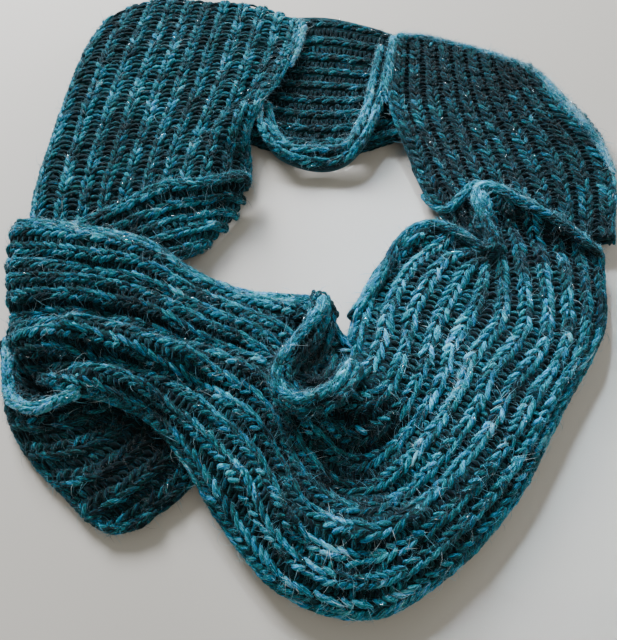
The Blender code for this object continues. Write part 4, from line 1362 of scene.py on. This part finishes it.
def lip_legs(places, height):
    """Legs along the lips of a heap's lowest layers, right round it."""
    rows, columns = height.shape
    loop = ([(i, 0) for i in range(rows)] + [(rows - 1, j) for j in range(1, columns)]
            + [(i, columns - 1) for i in range(rows - 2, -1, -1)]
            + [(0, j) for j in range(columns - 2, 0, -1)])
    edge = np.array([[*places[i, j], height[i, j]] for i, j in loop + loop[:1]])
    run = running_length(edge[:, :2])
    middle = edge[:, :2].mean(0)
    rng = np.random.default_rng(rows)
    found = []
    for layer in range(LIP_LAYERS):
        for drop in (-0.22, 0.22):
            first = np.arange(0, run[-1] - LIP_LEG - 1, LIP_PITCH)
            start, end = (points_at(edge, run, first + reach) for reach in (LIP_LEG, 0.0))
            level_way = np.column_stack(((end - start)[:, :2], np.zeros(len(first))))
            out = unit(np.cross(unit(level_way), (0, 0, 1)))
            out *= np.sign((out[:, :2] * (start[:, :2] - middle)).sum(1))[:, None]
            room = np.minimum(start[:, 2], end[:, 2]) > (layer + 0.8) * FOLD
            start[:, 2], end[:, 2] = (layer + 0.5 + drop * 0.5) * FOLD, (layer + 0.5 + drop) * FOLD
            legs = Legs(start, end, out, yarn_tone(start, 0.1, -0.12, rng))
            found.append(Legs(*(column[room] for column in legs)))
    return joined(found)


for name, lines in HIDDEN_LINES.items():
    folds, legs = heap(name, lines)
    # The lips are in the darker yarn and set darker again, as painted shade under the layers above.
    strands(name + "_lips", legs, BAR, 3.6, 3.0, 0.4, shaded_yarn)
    print(name, len(folds.data.vertices), "points,", len(legs.start), "legs on its lips")

# %% [markdown]
# ## Cloth sizes
#
# The whole scarf is one knitted rectangle, seamed into a loop.  Each stretch that shows is a part
# of it, so each is listed with the width and length that it would have laid out flat.

Cut = namedtuple("Cut", "width length area held rests_on")   # metres and square metres
CUTS = {
    "back_bridge": Cut(0.200, 0.225, 0.0435, "laid", ("hidden_layers_back",)),
    "bridge_rim": Cut(0.029, 0.290, None, "folded", ("back_bridge_ground", "floor")),
    "right_lower_layer": Cut(0.052, 0.230, None, "folded", ("floor",)),
    "left_lobe": Cut(0.190, 0.130, 0.0200, "folded", ("floor",)),
    "left_panel": Cut(0.240, 0.320, 0.0755, "laid", ("hidden_layers_left", "back_bridge_ground")),
    "right_panel": Cut(0.200, 0.280, 0.0530, "laid", ("hidden_layers_right", "back_bridge_ground")),
    "left_under_fold": Cut(0.082, 0.147, None, "folded", ("left_panel_ground",)),
    "front_sweep": Cut(0.262, 0.730, 0.1420, "laid",
                       ("hidden_layers_front", "left_panel_ground", "right_panel_ground")),
    "pocket": Cut(0.051, 0.165, 0.0073, "folded", ("front_sweep_ground",)),
}
for name, cut in CUTS.items():
    on_it = [thing for thing in (stitches.get(name), ladders.get(name), *fuzz[name]) if thing]
    for roll in (roll for roll in ROLLS if roll.cloth == name):
        on_it += [rolls[roll.name][0], stitches[roll.name], *fuzz[roll.name]]

# %% How much was added
total = 0
for thing in bpy.data.objects:
    if thing.type == "MESH" and "grain" in thing.data.attributes:
        thing.data.calc_loop_triangles()
        total += len(thing.data.loop_triangles)
print(total, "triangles added in all")
